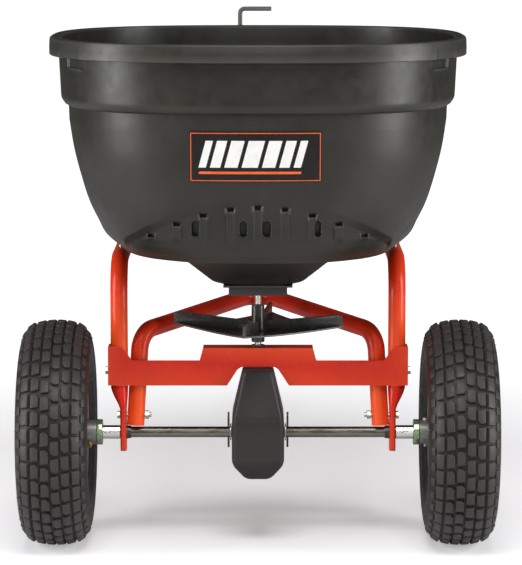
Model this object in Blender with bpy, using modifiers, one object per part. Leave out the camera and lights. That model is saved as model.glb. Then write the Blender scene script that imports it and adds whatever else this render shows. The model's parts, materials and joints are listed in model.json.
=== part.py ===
"""Tow-behind broadcast spreader, built as separate named parts.

Metres, +Z up, +X to the right seen from behind, +Y towards the tow vehicle.
The wheels stand on z = 0 and the overall box is centred on x = 0 and y = 0.
"""

import math

import bmesh
import bpy
from mathutils import Matrix, Vector

for old in list(bpy.data.objects):
    bpy.data.objects.remove(old, do_unlink=True)

# Driving dimensions
WHEEL_R = 0.165
TRACK = 0.5886
TYRE_W = 0.1036
TUBE_R = 0.0127
AXLE_R = 0.0079
SHAFT_R = 0.0048
HOPPER_W = 0.596
HOPPER_D = 0.600
HOPPER_H = 0.3575
WALL = 0.004
SHEET = 0.003
IMPELLER_R = 0.126
GEAR_TEETH = 32
PINION_TEETH = 8
GATE_TRAVEL = 0.030
LEVER_SWING = 24.0
HITCH_REACH = 0.885
HITCH_Z = 0.270
GAP = 0.0003

# Heights and stations that follow from them
AXLE_Z = WHEEL_R
HOPPER_Y = 0.010
HITCH_END = HITCH_REACH + 0.022
AY = (HOPPER_D / 2 - HOPPER_Y - HITCH_END) / 2
FRAME_X = TRACK / 2 - 0.0918
HUB_X = TRACK / 2 - 0.0586
PLATE_Z = AXLE_Z + 0.0716
HOPPER_Z = AXLE_Z + 0.2235
RIM_Z = HOPPER_Z + HOPPER_H
LINK_Z = AXLE_Z + 0.207
LINK_X = -0.020
LEVER_Y = AY + 0.450
PIVOT_Z = LINK_Z - GATE_TRAVEL / math.tan(math.radians(LEVER_SWING))

shown = bpy.data.collections.new("garden_spreader")
cutters = bpy.data.collections.new("cutters")
bpy.context.scene.collection.children.link(shown)
bpy.context.scene.collection.children.link(cutters)


def material(name, colour, metallic, roughness):
    made = bpy.data.materials.new(name)
    made.use_nodes = True
    shader = made.node_tree.nodes["Principled BSDF"]
    shader.inputs["Base Color"].default_value = (*colour, 1.0)
    shader.inputs["Metallic"].default_value = metallic
    shader.inputs["Roughness"].default_value = roughness
    made.diffuse_color = (*colour, 1.0)
    return made


POLY = material("hopper_poly", (0.045, 0.042, 0.034), 0.0, 0.45)
ORANGE = material("orange_coat", (0.72, 0.07, 0.015), 0.0, 0.35)
BLACK = material("black_plastic", (0.02, 0.02, 0.018), 0.0, 0.4)
ZINC = material("zinc_steel", (0.55, 0.57, 0.50), 1.0, 0.35)
STEEL = material("bright_steel", (0.75, 0.76, 0.75), 1.0, 0.25)
RUBBER = material("tyre_rubber", (0.025, 0.025, 0.027), 0.0, 0.75)
RIM_PAINT = material("rim_paint", (0.20, 0.17, 0.18), 0.2, 0.45)
LABEL = material("label_film", (0.015, 0.013, 0.012), 0.0, 0.3)
BRASS = material("brass", (0.65, 0.45, 0.15), 1.0, 0.35)


def adopt(mesh, name, skin, origin=(0.0, 0.0, 0.0)):
    """A mesh in world coordinates as an object whose origin is at the given point."""
    place = Vector(origin)
    mesh.transform(Matrix.Translation(-place))
    mesh.name = name
    made = bpy.data.objects.new(name, mesh)
    made.location = place
    if skin is not None:
        mesh.materials.clear()
        mesh.materials.append(skin)
        mesh.shade_smooth()
        mesh.set_sharp_from_angle(angle=math.radians(35))
        shown.objects.link(made)
    else:
        made.hide_render = True
        made.display_type = "WIRE"
        cutters.objects.link(made)
    return made


def mesh_from(form):
    """The bmesh as a mesh with its faces turned outwards."""
    bmesh.ops.remove_doubles(form, verts=form.verts, dist=1e-6)
    bmesh.ops.recalc_face_normals(form, faces=form.faces)
    mesh = bpy.data.meshes.new("shape")
    form.to_mesh(mesh)
    form.free()
    return mesh


def baked(made):
    """What an object looks like with its modifiers, as a mesh in world coordinates."""
    bpy.context.view_layer.update()
    seen = made.evaluated_get(bpy.context.evaluated_depsgraph_get())
    mesh = bpy.data.meshes.new_from_object(seen)
    mesh.transform(made.matrix_world)
    bpy.data.objects.remove(made, do_unlink=True)
    return mesh


def tidy(mesh, dist=1e-6):
    form = bmesh.new()
    form.from_mesh(mesh)
    bmesh.ops.remove_doubles(form, verts=form.verts, dist=dist)
    bmesh.ops.dissolve_degenerate(form, edges=form.edges, dist=1e-6)
    bmesh.ops.recalc_face_normals(form, faces=form.faces)
    form.to_mesh(mesh)
    form.free()
    return mesh


def combined(mesh, others, how):
    """A mesh after one Boolean for each of the other meshes."""
    for other in others:
        whole = adopt(mesh, "whole", None)
        tool = adopt(other, "tool", None)
        step = whole.modifiers.new("step", "BOOLEAN")
        step.operation = how
        step.solver = "EXACT"
        step.object = tool
        mesh = tidy(baked(whole))
    return mesh


def cut(mesh, *others):
    return combined(mesh, others, "DIFFERENCE")


def join(mesh, *others):
    return combined(mesh, others, "UNION")


def overlap(mesh, *others):
    return combined(mesh, others, "INTERSECT")


def box(x0, x1, y0, y1, z0, z1):
    form = bmesh.new()
    bmesh.ops.create_cube(form, size=1.0)
    size = Matrix.Diagonal((x1 - x0, y1 - y0, z1 - z0, 1.0))
    middle = Matrix.Translation(((x0 + x1) / 2, (y0 + y1) / 2, (z0 + z1) / 2))
    bmesh.ops.transform(form, matrix=middle @ size, verts=form.verts)
    return mesh_from(form)


def rod(start, end, radius, sides=16, tip=None):
    """A round bar between two points, tapering to a second radius if given."""
    a = Vector(start)
    b = Vector(end)
    form = bmesh.new()
    bmesh.ops.create_cone(
        form,
        cap_ends=True,
        segments=sides,
        radius1=radius,
        radius2=radius if tip is None else tip,
        depth=(b - a).length,
    )
    turn = Vector((0, 0, 1)).rotation_difference((b - a).normalized()).to_matrix().to_4x4()
    bmesh.ops.transform(form, matrix=Matrix.Translation((a + b) / 2) @ turn, verts=form.verts)
    return mesh_from(form)


def prism(outline, low, high, axis="Y"):
    """A closed outline pushed along one axis between two stations."""
    order = {"X": (2, 0, 1), "Y": (0, 2, 1), "Z": (0, 1, 2)}[axis]
    form = bmesh.new()
    rings = []
    for station in (low, high):
        ring = []
        for u, v in outline:
            spot = (u, v, station)
            ring.append(form.verts.new([spot[k] for k in order]))
        rings.append(ring)
    form.faces.new(rings[0])
    form.faces.new(list(reversed(rings[1])))
    count = len(outline)
    for k in range(count):
        n = (k + 1) % count
        form.faces.new([rings[0][k], rings[0][n], rings[1][n], rings[1][k]])
    return mesh_from(form)


def softened(mesh, width, segments=1, angle=30):
    made = adopt(mesh, "soft", None)
    edge = made.modifiers.new("edge", "BEVEL")
    edge.width = width
    edge.segments = segments
    edge.limit_method = "ANGLE"
    edge.angle_limit = math.radians(angle)
    return tidy(baked(made))


def filleted(points, radius, steps=5):
    """A path whose inner corners are rounded."""
    path = [Vector(p) for p in points]
    out = [path[0]]
    for k in range(1, len(path) - 1):
        before = (path[k - 1] - path[k]).normalized()
        after = (path[k + 1] - path[k]).normalized()
        half = before.angle(after) / 2
        if half > math.radians(88):
            out.append(path[k])
            continue
        reach = radius / math.tan(half)
        centre = path[k] + (before + after).normalized() * (radius / math.sin(half))
        first = (path[k] + before * reach - centre).normalized()
        last = (path[k] + after * reach - centre).normalized()
        for s in range(steps + 1):
            out.append(centre + first.slerp(last, s / steps) * radius)
    out.append(path[-1])
    return out


def tube(points, radius, bend=0.05, detail=2, steps=4):
    """A round bar along a path, made from a beveled curve."""
    curve = bpy.data.curves.new("path", "CURVE")
    curve.dimensions = "3D"
    curve.bevel_depth = radius
    curve.bevel_resolution = detail
    curve.use_fill_caps = True
    line = curve.splines.new("POLY")
    path = filleted(points, bend, steps) if len(points) > 2 else [Vector(p) for p in points]
    line.points.add(len(path) - 1)
    for spot, place in zip(line.points, path):
        spot.co = (*place, 1.0)
    made = bpy.data.objects.new("path", curve)
    cutters.objects.link(made)
    return tidy(baked(made), 1e-5)


def turned(profile, centre, axis="X", sides=48, closed=True):
    """A profile of (radius, along) turned round an axis through the centre."""
    form = bmesh.new()
    ring = [form.verts.new((r, 0.0, h)) for r, h in profile]
    for k in range(len(ring) - 1):
        form.edges.new((ring[k], ring[k + 1]))
    if closed:
        form.edges.new((ring[-1], ring[0]))
    mesh = bpy.data.meshes.new("profile")
    form.to_mesh(mesh)
    form.free()
    made = bpy.data.objects.new("profile", mesh)
    cutters.objects.link(made)
    spin = made.modifiers.new("spin", "SCREW")
    spin.axis = "Z"
    spin.angle = math.tau
    spin.steps = sides
    spin.render_steps = sides
    spin.use_merge_vertices = True
    spin.merge_threshold = 0.00005
    solid = baked(made)
    if axis == "X":
        solid.transform(Matrix.Rotation(math.pi / 2, 4, "Y"))
    solid.transform(Matrix.Translation(centre))
    form = bmesh.new()
    form.from_mesh(solid)
    return mesh_from(form)


def ring_points(a, b, power, count):
    out = []
    for k in range(count):
        t = math.tau * (k + 0.5) / count
        c = math.cos(t)
        s = math.sin(t)
        x = a * math.copysign(abs(c) ** (2 / power), c)
        y = b * math.copysign(abs(s) ** (2 / power), s)
        out.append((x, y))
    return out


def loft(sections, count=36):
    """Rounded-square sections (height, half width, power) skinned into a solid."""
    form = bmesh.new()
    rings = []
    for z, a, power in sections:
        ring = []
        for x, y in ring_points(a, a * HOPPER_D / HOPPER_W, power, count):
            ring.append(form.verts.new((x, AY + HOPPER_Y + y, z)))
        rings.append(ring)
    for low, high in zip(rings, rings[1:]):
        for k in range(count):
            n = (k + 1) % count
            form.faces.new([low[k], low[n], high[n], high[k]])
    form.faces.new(rings[0])
    form.faces.new(list(reversed(rings[-1])))
    return mesh_from(form)


# Hopper shape: share of the height, share of the half width, and squareness at each level
BOWL = (
    (0.0000, 0.193, 3.2),
    (0.0378, 0.342, 3.4),
    (0.0615, 0.480, 3.2),
    (0.1105, 0.607, 2.7),
    (0.1470, 0.651, 2.5),
    (0.2080, 0.736, 2.5),
    (0.2670, 0.774, 2.55),
    (0.3450, 0.817, 2.6),
    (0.4460, 0.854, 2.65),
    (0.5600, 0.887, 2.7),
    (0.6740, 0.908, 2.7),
    (0.7310, 0.911, 2.7),
    (0.7560, 0.945, 2.7),
    (0.9250, 0.955, 2.7),
)
HALF_W = HOPPER_W / 2
DEPTH_SHARE = HOPPER_D / HOPPER_W


def bowl_at(z):
    """Half width and power of the outer bowl at a height."""
    share = (z - HOPPER_Z) / HOPPER_H
    share = min(max(share, BOWL[0][0]), BOWL[-1][0])
    for (h0, w0, p0), (h1, w1, p1) in zip(BOWL, BOWL[1:]):
        if share <= h1:
            t = (share - h0) / (h1 - h0)
            return (w0 + (w1 - w0) * t) * HALF_W, p0 + (p1 - p0) * t
    return BOWL[-1][1] * HALF_W, BOWL[-1][2]


def rear_face(x, z):
    """Where the rear of the outer bowl is, at a side station and a height."""
    a, power = bowl_at(z)
    inside = max(0.0, 1 - (abs(x) / a) ** power)
    return AY + HOPPER_Y - a * DEPTH_SHARE * inside ** (1 / power)


def bowl_floor(reach):
    """The lowest height at which the outer bowl is as wide as this reach."""
    z = HOPPER_Z
    while bowl_at(z)[0] < reach and z < RIM_Z:
        z += 0.0005
    return z


def bowl_sections(shift, base):
    """Sections of the bowl moved inwards by a wall thickness."""
    out = []
    for h, w, power in BOWL:
        slope = 1.0 if h < 0.13 else 0.45 if h < 0.24 else 0.0
        side = 0.35 if h < 0.13 else 0.9 if h < 0.24 else 1.0
        z = HOPPER_Z + h * HOPPER_H + shift * slope
        out.append((max(z, base), w * HALF_W - shift * side, power))
    return out


LIP = HALF_W
LIP_IN = 0.955 * HALF_W
outer = bowl_sections(0.0, HOPPER_Z)
outer += [
    (RIM_Z - 0.005, LIP_IN, 2.7),
    (RIM_Z - 0.005, LIP - 0.004, 2.7),
    (RIM_Z - 0.0245, LIP - 0.004, 2.7),
    (RIM_Z - 0.0245, LIP, 2.7),
    (RIM_Z - 0.002, LIP, 2.7),
    (RIM_Z, LIP - 0.002, 2.7),
]
inner = bowl_sections(WALL, HOPPER_Z + WALL)
inner += [(RIM_Z - 0.004, LIP_IN - WALL, 2.7), (RIM_Z + 0.02, LIP_IN - WALL, 2.7)]

# The arched panel low on the rear of the hopper is stepped in by this much
STEP_IN = 0.005
ARCH_X = 0.186 * HOPPER_W / 0.596
ARCH_LOW = HOPPER_Z + 0.222 * HOPPER_H
ARCH_HIGH = HOPPER_Z + 0.412 * HOPPER_H


def arch_height(x):
    share = min(1.0, abs(x) / ARCH_X)
    return ARCH_LOW + (ARCH_HIGH - ARCH_LOW) * math.cos(share * math.pi / 2) ** 0.85


def arch_outline(grow):
    top = []
    for k in range(17):
        x = ARCH_X * (1 - k / 8)
        top.append((x * (1 + grow / ARCH_X), arch_height(x) + grow))
    low = ARCH_LOW - 0.006 - grow
    return [*top, (-ARCH_X - grow, low), (ARCH_X + grow, low)]


back = AY + HOPPER_Y - HOPPER_D
front = AY + HOPPER_Y - 0.02
panel_core = loft([(z, a - STEP_IN, p) for z, a, p in bowl_sections(0.0, HOPPER_Z - 0.01)])
panel = cut(prism(arch_outline(0.0), back, front), panel_core)
keep_core = loft([(z, a - STEP_IN, p) for z, a, p in bowl_sections(WALL, HOPPER_Z - 0.01)])
keep = cut(prism(arch_outline(WALL), back, front), keep_core)
cavity = cut(loft(inner), keep)

ribs = []
for k in range(-4, 5):
    x = k * 0.0376 * HOPPER_W / 0.596
    top = arch_height(x) - 0.016
    low = ARCH_LOW - 0.001
    form = bmesh.new()
    corners = []
    for z in (low, top):
        for dx, dy in ((-1, 0.0008), (1, 0.0008), (1, STEP_IN + 0.002), (-1, STEP_IN + 0.002)):
            corners.append(form.verts.new((x + dx * 0.006, rear_face(x, z) + dy, z)))
    for face in ((0, 1, 2, 3), (4, 5, 6, 7), (0, 1, 5, 4), (1, 2, 6, 5), (2, 3, 7, 6), (3, 0, 4, 7)):
        form.faces.new([corners[i] for i in face])
    ribs.append(mesh_from(form))

lugs = []
for side in (-1, 1):
    x = side * LIP_IN
    lugs.append(
        box(x - 0.006, x + 0.006, AY - 0.062, AY - 0.038, RIM_Z - 0.036, RIM_Z - 0.026)
    )

PORT = (-0.024, 0.024, AY - 0.042, AY - 0.017)
shell = cut(loft(outer), panel)
shell = join(shell, *ribs, *lugs)
shell = cut(
    shell,
    cavity,
    rod((0, AY, HOPPER_Z - 0.01), (0, AY, HOPPER_Z + 0.02), 0.0105, 24),
    box(*PORT, HOPPER_Z - 0.01, HOPPER_Z + 0.02),
)
adopt(shell, "hopper", POLY)

# Label panel on the rear of the hopper
form = bmesh.new()
sheets = []
for lift in (3 * GAP, 3 * GAP + 0.0008):
    rows = []
    for r in range(5):
        z = HOPPER_Z + (0.475 + 0.193 * r / 4) * HOPPER_H
        row = []
        for c in range(11):
            x = (-0.0925 + 0.179 * c / 10) * HOPPER_W / 0.596
            row.append(form.verts.new((x, rear_face(x, z) - lift, z)))
        rows.append(row)
    sheets.append(rows)
for rows in sheets:
    for r in range(4):
        for c in range(10):
            form.faces.new([rows[r][c], rows[r][c + 1], rows[r + 1][c + 1], rows[r + 1][c]])
low, high = sheets
for c in range(10):
    form.faces.new([low[0][c], low[0][c + 1], high[0][c + 1], high[0][c]])
    form.faces.new([low[4][c], low[4][c + 1], high[4][c + 1], high[4][c]])
for r in range(4):
    form.faces.new([low[r][0], low[r + 1][0], high[r + 1][0], high[r][0]])
    form.faces.new([low[r][10], low[r + 1][10], high[r + 1][10], high[r][10]])
adopt(mesh_from(form), "label_panel", LABEL)

# Gate guide under the outlet, and the gate that slides in it
GUIDE_TOP = HOPPER_Z - GAP
guide = join(
    box(-0.050, 0.050, AY - 0.050, AY + 0.034, GUIDE_TOP - 0.0030, GUIDE_TOP),
    box(-0.0422, 0.0422, AY - 0.046, AY + 0.030, GUIDE_TOP - 0.0150, GUIDE_TOP - 0.0015),
)
guide = cut(
    guide,
    box(-0.0355, 0.0355, AY - 0.043, AY + 0.050, GUIDE_TOP - 0.0100, GUIDE_TOP - 0.0062),
    box(*PORT, GUIDE_TOP - 0.03, GUIDE_TOP + 0.01),
    rod((0, AY, GUIDE_TOP - 0.03), (0, AY, GUIDE_TOP + 0.01), 0.0105, 24),
)
adopt(guide, "gate_guide", BLACK)

GATE_TOP = GUIDE_TOP - 0.0068
GATE_END = AY + 0.086
gate = join(
    box(-0.035, 0.035, AY - 0.0425, GATE_END, GATE_TOP - 0.0025, GATE_TOP),
    box(-0.027, -0.0135, GATE_END - 0.003, GATE_END, LINK_Z - 0.006, GATE_TOP - 0.001),
)
slot = join(
    box(-0.0062, 0.0062, AY - GATE_TRAVEL, AY, GATE_TOP - 0.01, GATE_TOP + 0.01),
    rod((0, AY, GATE_TOP - 0.01), (0, AY, GATE_TOP + 0.01), 0.0062, 20),
    rod(
        (0, AY - GATE_TRAVEL, GATE_TOP - 0.01),
        (0, AY - GATE_TRAVEL, GATE_TOP + 0.01),
        0.0062,
        20,
    ),
)
gate = cut(
    gate,
    slot,
    rod((LINK_X, GATE_END - 0.01, LINK_Z), (LINK_X, GATE_END + 0.01, LINK_Z), 0.0029, 16),
)
adopt(gate, "slide_gate", ZINC, (0, AY, GATE_TOP))

link = join(
    tube(
        [
            (LINK_X, GATE_END - 0.008, LINK_Z),
            (LINK_X, LEVER_Y, LINK_Z),
            (LINK_X - 0.017, LEVER_Y, LINK_Z),
        ],
        0.0025,
        0.006,
        2,
        3,
    ),
    rod((LINK_X, GATE_END + GAP, LINK_Z), (LINK_X, GATE_END + 0.0025, LINK_Z), 0.0045, 16),
)
adopt(link, "gate_link", ZINC, (LINK_X, AY, LINK_Z))

# Flow control lever: flat foot with a slot for the link, then a bent round handle
LEVER_X = -0.0290
foot = [
    (LEVER_Y - 0.010, PIVOT_Z - 0.010),
    (LEVER_Y + 0.010, PIVOT_Z - 0.010),
    (LEVER_Y + 0.010, LINK_Z + 0.035),
    (LEVER_Y - 0.010, LINK_Z + 0.035),
]
lever = prism(foot, LEVER_X - 0.0015, LEVER_X + 0.0015, "X")
handle_top = RIM_Z + 0.0195
handle = tube(
    [
        (LEVER_X, LEVER_Y, LINK_Z + 0.018),
        (LEVER_X, LEVER_Y, handle_top),
        (LEVER_X + 0.050, LEVER_Y, handle_top),
    ],
    0.0036,
    0.007,
    3,
    4,
)
SLOT_W = 0.0037
slot_top = LINK_Z + (LINK_Z - PIVOT_Z) * (1 / math.cos(math.radians(LEVER_SWING)) - 1)
lever = join(lever, handle)
lever = cut(
    lever,
    join(
        box(
            LEVER_X - 0.01,
            LEVER_X + 0.01,
            LEVER_Y - SLOT_W,
            LEVER_Y + SLOT_W,
            LINK_Z,
            slot_top,
        ),
        rod((LEVER_X - 0.01, LEVER_Y, LINK_Z), (LEVER_X + 0.01, LEVER_Y, LINK_Z), SLOT_W, 20),
        rod((LEVER_X - 0.01, LEVER_Y, slot_top), (LEVER_X + 0.01, LEVER_Y, slot_top), SLOT_W, 20),
    ),
    rod((LEVER_X - 0.01, LEVER_Y, PIVOT_Z), (LEVER_X + 0.01, LEVER_Y, PIVOT_Z), 0.0044, 20),
)
adopt(lever, "flow_lever", BLACK, (LEVER_X, LEVER_Y, PIVOT_Z))

# Frame tubes: upright from the axle, then forward under the hopper
RUN_Z = bowl_floor(FRAME_X - TUBE_R) - TUBE_R - 0.006
FLAT_T = 0.009
FLAT_X = FRAME_X - 0.0056
CROSS_LOW = AXLE_Z + 0.0105
CROSS_BOLT = AXLE_Z + 0.0257
BAR_Y = AY + 0.250
TUBE_END = BAR_Y + 0.022


def hollow(mesh, points, radius, bend, steps=4):
    return cut(mesh, tube(points, radius, bend, 2, steps))


for side, tag in ((-1, "left"), (1, "right")):
    x = side * FRAME_X
    path = [(x, AY, AXLE_Z + 0.058), (x, AY, RUN_Z), (x, TUBE_END, RUN_Z)]
    body = tube(path, TUBE_R, 0.05, 3, 4)
    bore = [(x, AY, AXLE_Z + 0.085), (x, AY, RUN_Z), (x, TUBE_END + 0.02, RUN_Z)]
    body = hollow(body, bore, TUBE_R - 0.002, 0.05)
    fx = side * FLAT_X
    form = bmesh.new()
    rings = []
    for z, xc, hx, hy in (
        (AXLE_Z - 0.0265, fx, FLAT_T / 2, 0.010),
        (AXLE_Z - 0.0205, fx, FLAT_T / 2, 0.0165),
        (AXLE_Z + 0.036, fx, FLAT_T / 2, 0.0165),
        (AXLE_Z + 0.066, x, TUBE_R - 0.0004, TUBE_R - 0.0004),
        (AXLE_Z + 0.072, x, TUBE_R - 0.0004, TUBE_R - 0.0004),
    ):
        ring = []
        power = 2.0 if z > AXLE_Z + 0.05 else 5.0
        for k in range(20):
            t = math.tau * k / 20
            c = math.cos(t)
            s = math.sin(t)
            px = xc + hx * math.copysign(abs(c) ** (2 / power), c)
            py = AY + hy * math.copysign(abs(s) ** (2 / power), s)
            ring.append(form.verts.new((px, py, z)))
        rings.append(ring)
    for low, high in zip(rings, rings[1:]):
        for k in range(20):
            n = (k + 1) % 20
            form.faces.new([low[k], low[n], high[n], high[k]])
    form.faces.new(rings[0])
    form.faces.new(list(reversed(rings[-1])))
    body = join(body, mesh_from(form))
    inner_x = x - side * 0.04
    outer_x = x + side * 0.04
    body = cut(
        body,
        rod((inner_x, AY, AXLE_Z), (outer_x, AY, AXLE_Z), 0.0103, 24),
        rod((inner_x, AY, CROSS_BOLT), (outer_x, AY, CROSS_BOLT), 0.0036, 16),
        rod((x, AY, PLATE_Z + 0.020), (outer_x, AY, PLATE_Z + 0.020), 0.0034, 16),
        rod((x, AY + 0.075, RUN_Z - 0.03), (x, AY + 0.075, RUN_Z + 0.03), 0.0034, 16),
    )
    adopt(body, "frame_tube_" + tag, ORANGE)

# Cross plate carrying the impeller shaft
FACE_Y = AY - TUBE_R - GAP - SHEET
EAR = FRAME_X + TUBE_R + GAP + SHEET
half = [
    (0.0452, 0.0),
    (EAR, 0.0),
    (EAR, 0.0571),
    (EAR - 0.0200, 0.0571),
    (EAR - 0.0350, 0.0369),
    (0.0850, 0.0369),
    (0.0800, 0.0554),
]
outline = [(u, PLATE_Z + v) for u, v in half]
outline += [(-u, PLATE_Z + v) for u, v in reversed(half)]
outline += [(-0.0300, PLATE_Z + 0.0235), (-0.0245, PLATE_Z + 0.0273)]
outline += [(0.0245, PLATE_Z + 0.0273), (0.0300, PLATE_Z + 0.0235)]
plate = prism(outline, FACE_Y, FACE_Y + SHEET)
parts = [
    box(-0.0800, 0.0800, FACE_Y + 0.0005, AY + 0.016, PLATE_Z + 0.0524, PLATE_Z + 0.0554),
]
for side in (-1, 1):
    a, b = sorted((side * (EAR - SHEET), side * EAR))
    parts.append(box(a, b, FACE_Y + 0.0005, AY + 0.018, PLATE_Z + 0.0005, PLATE_Z + 0.0566))
plate = join(plate, *parts)
drills = [rod((0, AY, PLATE_Z), (0, AY, PLATE_Z + 0.08), 0.0075, 24)]
for side in (-1, 1):
    drills.append(
        rod(
            (side * (EAR - 0.01), AY, PLATE_Z + 0.020),
            (side * (EAR + 0.01), AY, PLATE_Z + 0.020),
            0.0034,
            16,
        )
    )
plate = cut(plate, *drills)
adopt(plate, "cross_plate", ORANGE)

# Crossover tube: up from both axle ends and forward to the tongue
CROSS_Y = AY + 0.240
CROSS_Z = AXLE_Z + 0.1715
cx = FLAT_X - FLAT_T / 2 - GAP - TUBE_R
LEAN = 0.0078
path = [
    (-cx, AY, CROSS_LOW),
    (-cx + LEAN, AY + 0.010, AXLE_Z + 0.147),
    (0, CROSS_Y, CROSS_Z),
    (cx - LEAN, AY + 0.010, AXLE_Z + 0.147),
    (cx, AY, CROSS_LOW),
]
extended = [(-cx, AY, CROSS_LOW - 0.02), *path[1:-1], (cx, AY, CROSS_LOW - 0.02)]
crossover = hollow(tube(path, TUBE_R, 0.032, 3, 4), extended, TUBE_R - 0.002, 0.032)
crossover = cut(
    crossover,
    rod((-cx - 0.02, AY, CROSS_BOLT), (-cx + 0.02, AY, CROSS_BOLT), 0.0036, 16),
    rod((cx - 0.02, AY, CROSS_BOLT), (cx + 0.02, AY, CROSS_BOLT), 0.0036, 16),
    rod((0, CROSS_Y, CROSS_Z - 0.03), (0, CROSS_Y, CROSS_Z + 0.03), 0.0034, 16),
)
adopt(crossover, "crossover_tube", ORANGE)

# Tongue
TONGUE_Z = CROSS_Z + 2 * TUBE_R + 0.0008
tongue_path = [
    (0, CROSS_Y - 0.040, TONGUE_Z),
    (0, CROSS_Y + 0.030, TONGUE_Z),
    (0, AY + HITCH_REACH - 0.120, HITCH_Z),
    (0, AY + HITCH_REACH - 0.030, HITCH_Z),
]
longer = [(0, CROSS_Y - 0.06, TONGUE_Z), *tongue_path[1:3], (0, AY + HITCH_REACH, HITCH_Z)]
tongue = hollow(tube(tongue_path, TUBE_R, 0.10, 3, 4), longer, TUBE_R - 0.002, 0.10, 4)
slope = (HITCH_Z - TONGUE_Z) / (HITCH_REACH - 0.120 - 0.270)
PIN_BACK = AY + HITCH_REACH - 0.075
LEVER_TUBE_Z = TONGUE_Z + slope * (LEVER_Y - CROSS_Y - 0.030)
tongue = cut(
    tongue,
    rod((0, CROSS_Y, TONGUE_Z - 0.03), (0, CROSS_Y, TONGUE_Z + 0.03), 0.0034, 16),
    rod((0, PIN_BACK, HITCH_Z - 0.03), (0, PIN_BACK, HITCH_Z + 0.03), 0.0044, 16),
)
adopt(tongue, "tongue_tube", ORANGE)

bolt = join(
    rod((0, CROSS_Y, TONGUE_Z + TUBE_R + GAP), (0, CROSS_Y, TONGUE_Z + TUBE_R + 0.0055), 0.0065, 6),
    rod((0, CROSS_Y, CROSS_Z - TUBE_R - 0.009), (0, CROSS_Y, TONGUE_Z + TUBE_R + 0.002), 0.0031, 16),
    rod((0, CROSS_Y, CROSS_Z - TUBE_R - GAP), (0, CROSS_Y, CROSS_Z - TUBE_R - 0.0055), 0.0065, 6),
)
adopt(bolt, "tongue_bolt", ZINC)


def nut(top, bottom, hole, radius):
    body = rod(top, bottom, radius, 6)
    a = Vector(top)
    b = Vector(bottom)
    more = (b - a).normalized() * 0.005
    return cut(body, rod(a - more, b + more, hole, 16))

# Front bar between the frame tubes, and the hanger that holds the tongue below it
BAR_TOP = RUN_Z - TUBE_R - GAP
bar = box(-FRAME_X - 0.012, FRAME_X + 0.012, BAR_Y - 0.015, BAR_Y + 0.015, BAR_TOP - 0.004, BAR_TOP)
bar = cut(bar, rod((0, BAR_Y, BAR_TOP - 0.01), (0, BAR_Y, BAR_TOP + 0.01), 0.0034, 16))
adopt(bar, "front_bar", ORANGE)
HANG_TOP = BAR_TOP - 0.004 - GAP
HANG_LOW = TONGUE_Z + TUBE_R + GAP
hanger = join(
    box(-0.016, 0.016, BAR_Y - 0.012, BAR_Y + 0.040, HANG_TOP - 0.004, HANG_TOP),
    box(-0.016, 0.016, BAR_Y + 0.028, BAR_Y + 0.032, HANG_LOW + 0.0005, HANG_TOP - 0.001),
    box(-0.010, 0.010, BAR_Y + 0.0285, BAR_Y + 0.040, HANG_LOW, HANG_LOW + 0.004),
)
hanger = cut(hanger, rod((0, BAR_Y, HANG_TOP - 0.02), (0, BAR_Y, HANG_TOP + 0.01), 0.0034, 16))
adopt(hanger, "tongue_hanger", ORANGE)
bolt = join(
    rod((0, BAR_Y, BAR_TOP + GAP), (0, BAR_Y, BAR_TOP + 0.005), 0.0065, 6),
    rod((0, BAR_Y, HANG_TOP - 0.0095), (0, BAR_Y, BAR_TOP + 0.002), 0.0031, 16),
)
adopt(bolt, "hanger_bolt", ZINC)
for side, tag in ((-1, "left"), (1, "right")):
    x = side * FRAME_X
    y = AY + 0.075
    low = RUN_Z - TUBE_R
    bolt = join(
        rod((x, y, low - GAP), (x, y, low - 0.005), 0.0065, 6),
        rod((x, y, low - 0.002), (x, y, RUN_Z + TUBE_R + 0.0035), 0.0031, 16),
    )
    adopt(bolt, "hopper_bolt_" + tag, ZINC)

# Hitch plates and pin
for tag, sign in (("upper", 1), ("lower", -1)):
    near = HITCH_Z + sign * (TUBE_R + GAP)
    far = near + sign * 0.004
    z0, z1 = sorted((near, far))
    tab = box(-0.022, 0.022, PIN_BACK - 0.030, AY + HITCH_END, z0, z1)
    tab = softened(tab, 0.0012, 1)
    tab = cut(
        tab,
        rod((0, PIN_BACK, z0 - 0.01), (0, PIN_BACK, z1 + 0.01), 0.0044, 16),
        rod((0, AY + HITCH_REACH, z0 - 0.01), (0, AY + HITCH_REACH, z1 + 0.01), 0.0070, 24),
    )
    adopt(tab, "hitch_plate_" + tag, ORANGE)
TOP = HITCH_Z + TUBE_R + GAP + 0.004
LOW = HITCH_Z - TUBE_R - GAP - 0.004
bolt = join(
    rod((0, PIN_BACK, TOP + GAP), (0, PIN_BACK, TOP + 0.006), 0.0078, 6),
    rod((0, PIN_BACK, LOW - 0.010), (0, PIN_BACK, TOP + 0.002), 0.0040, 16),
    rod((0, PIN_BACK, LOW - GAP), (0, PIN_BACK, LOW - 0.0065), 0.0078, 6),
)
adopt(bolt, "hitch_bolt", ZINC)
pin_y = AY + HITCH_REACH
pin = join(
    rod((0, pin_y, LOW - 0.014), (0, pin_y, TOP + 0.004), 0.0063, 24),
    rod((0, pin_y, TOP + GAP), (0, pin_y, TOP + 0.006), 0.0110, 24),
    tube(
        [
            (-0.012, pin_y, TOP + 0.003),
            (-0.017, pin_y, TOP + 0.034),
            (0.017, pin_y, TOP + 0.034),
            (0.012, pin_y, TOP + 0.003),
        ],
        0.0022,
        0.010,
        2,
        4,
    ),
)
adopt(pin, "hitch_pin", ZINC, (0, pin_y, HITCH_Z))

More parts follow.
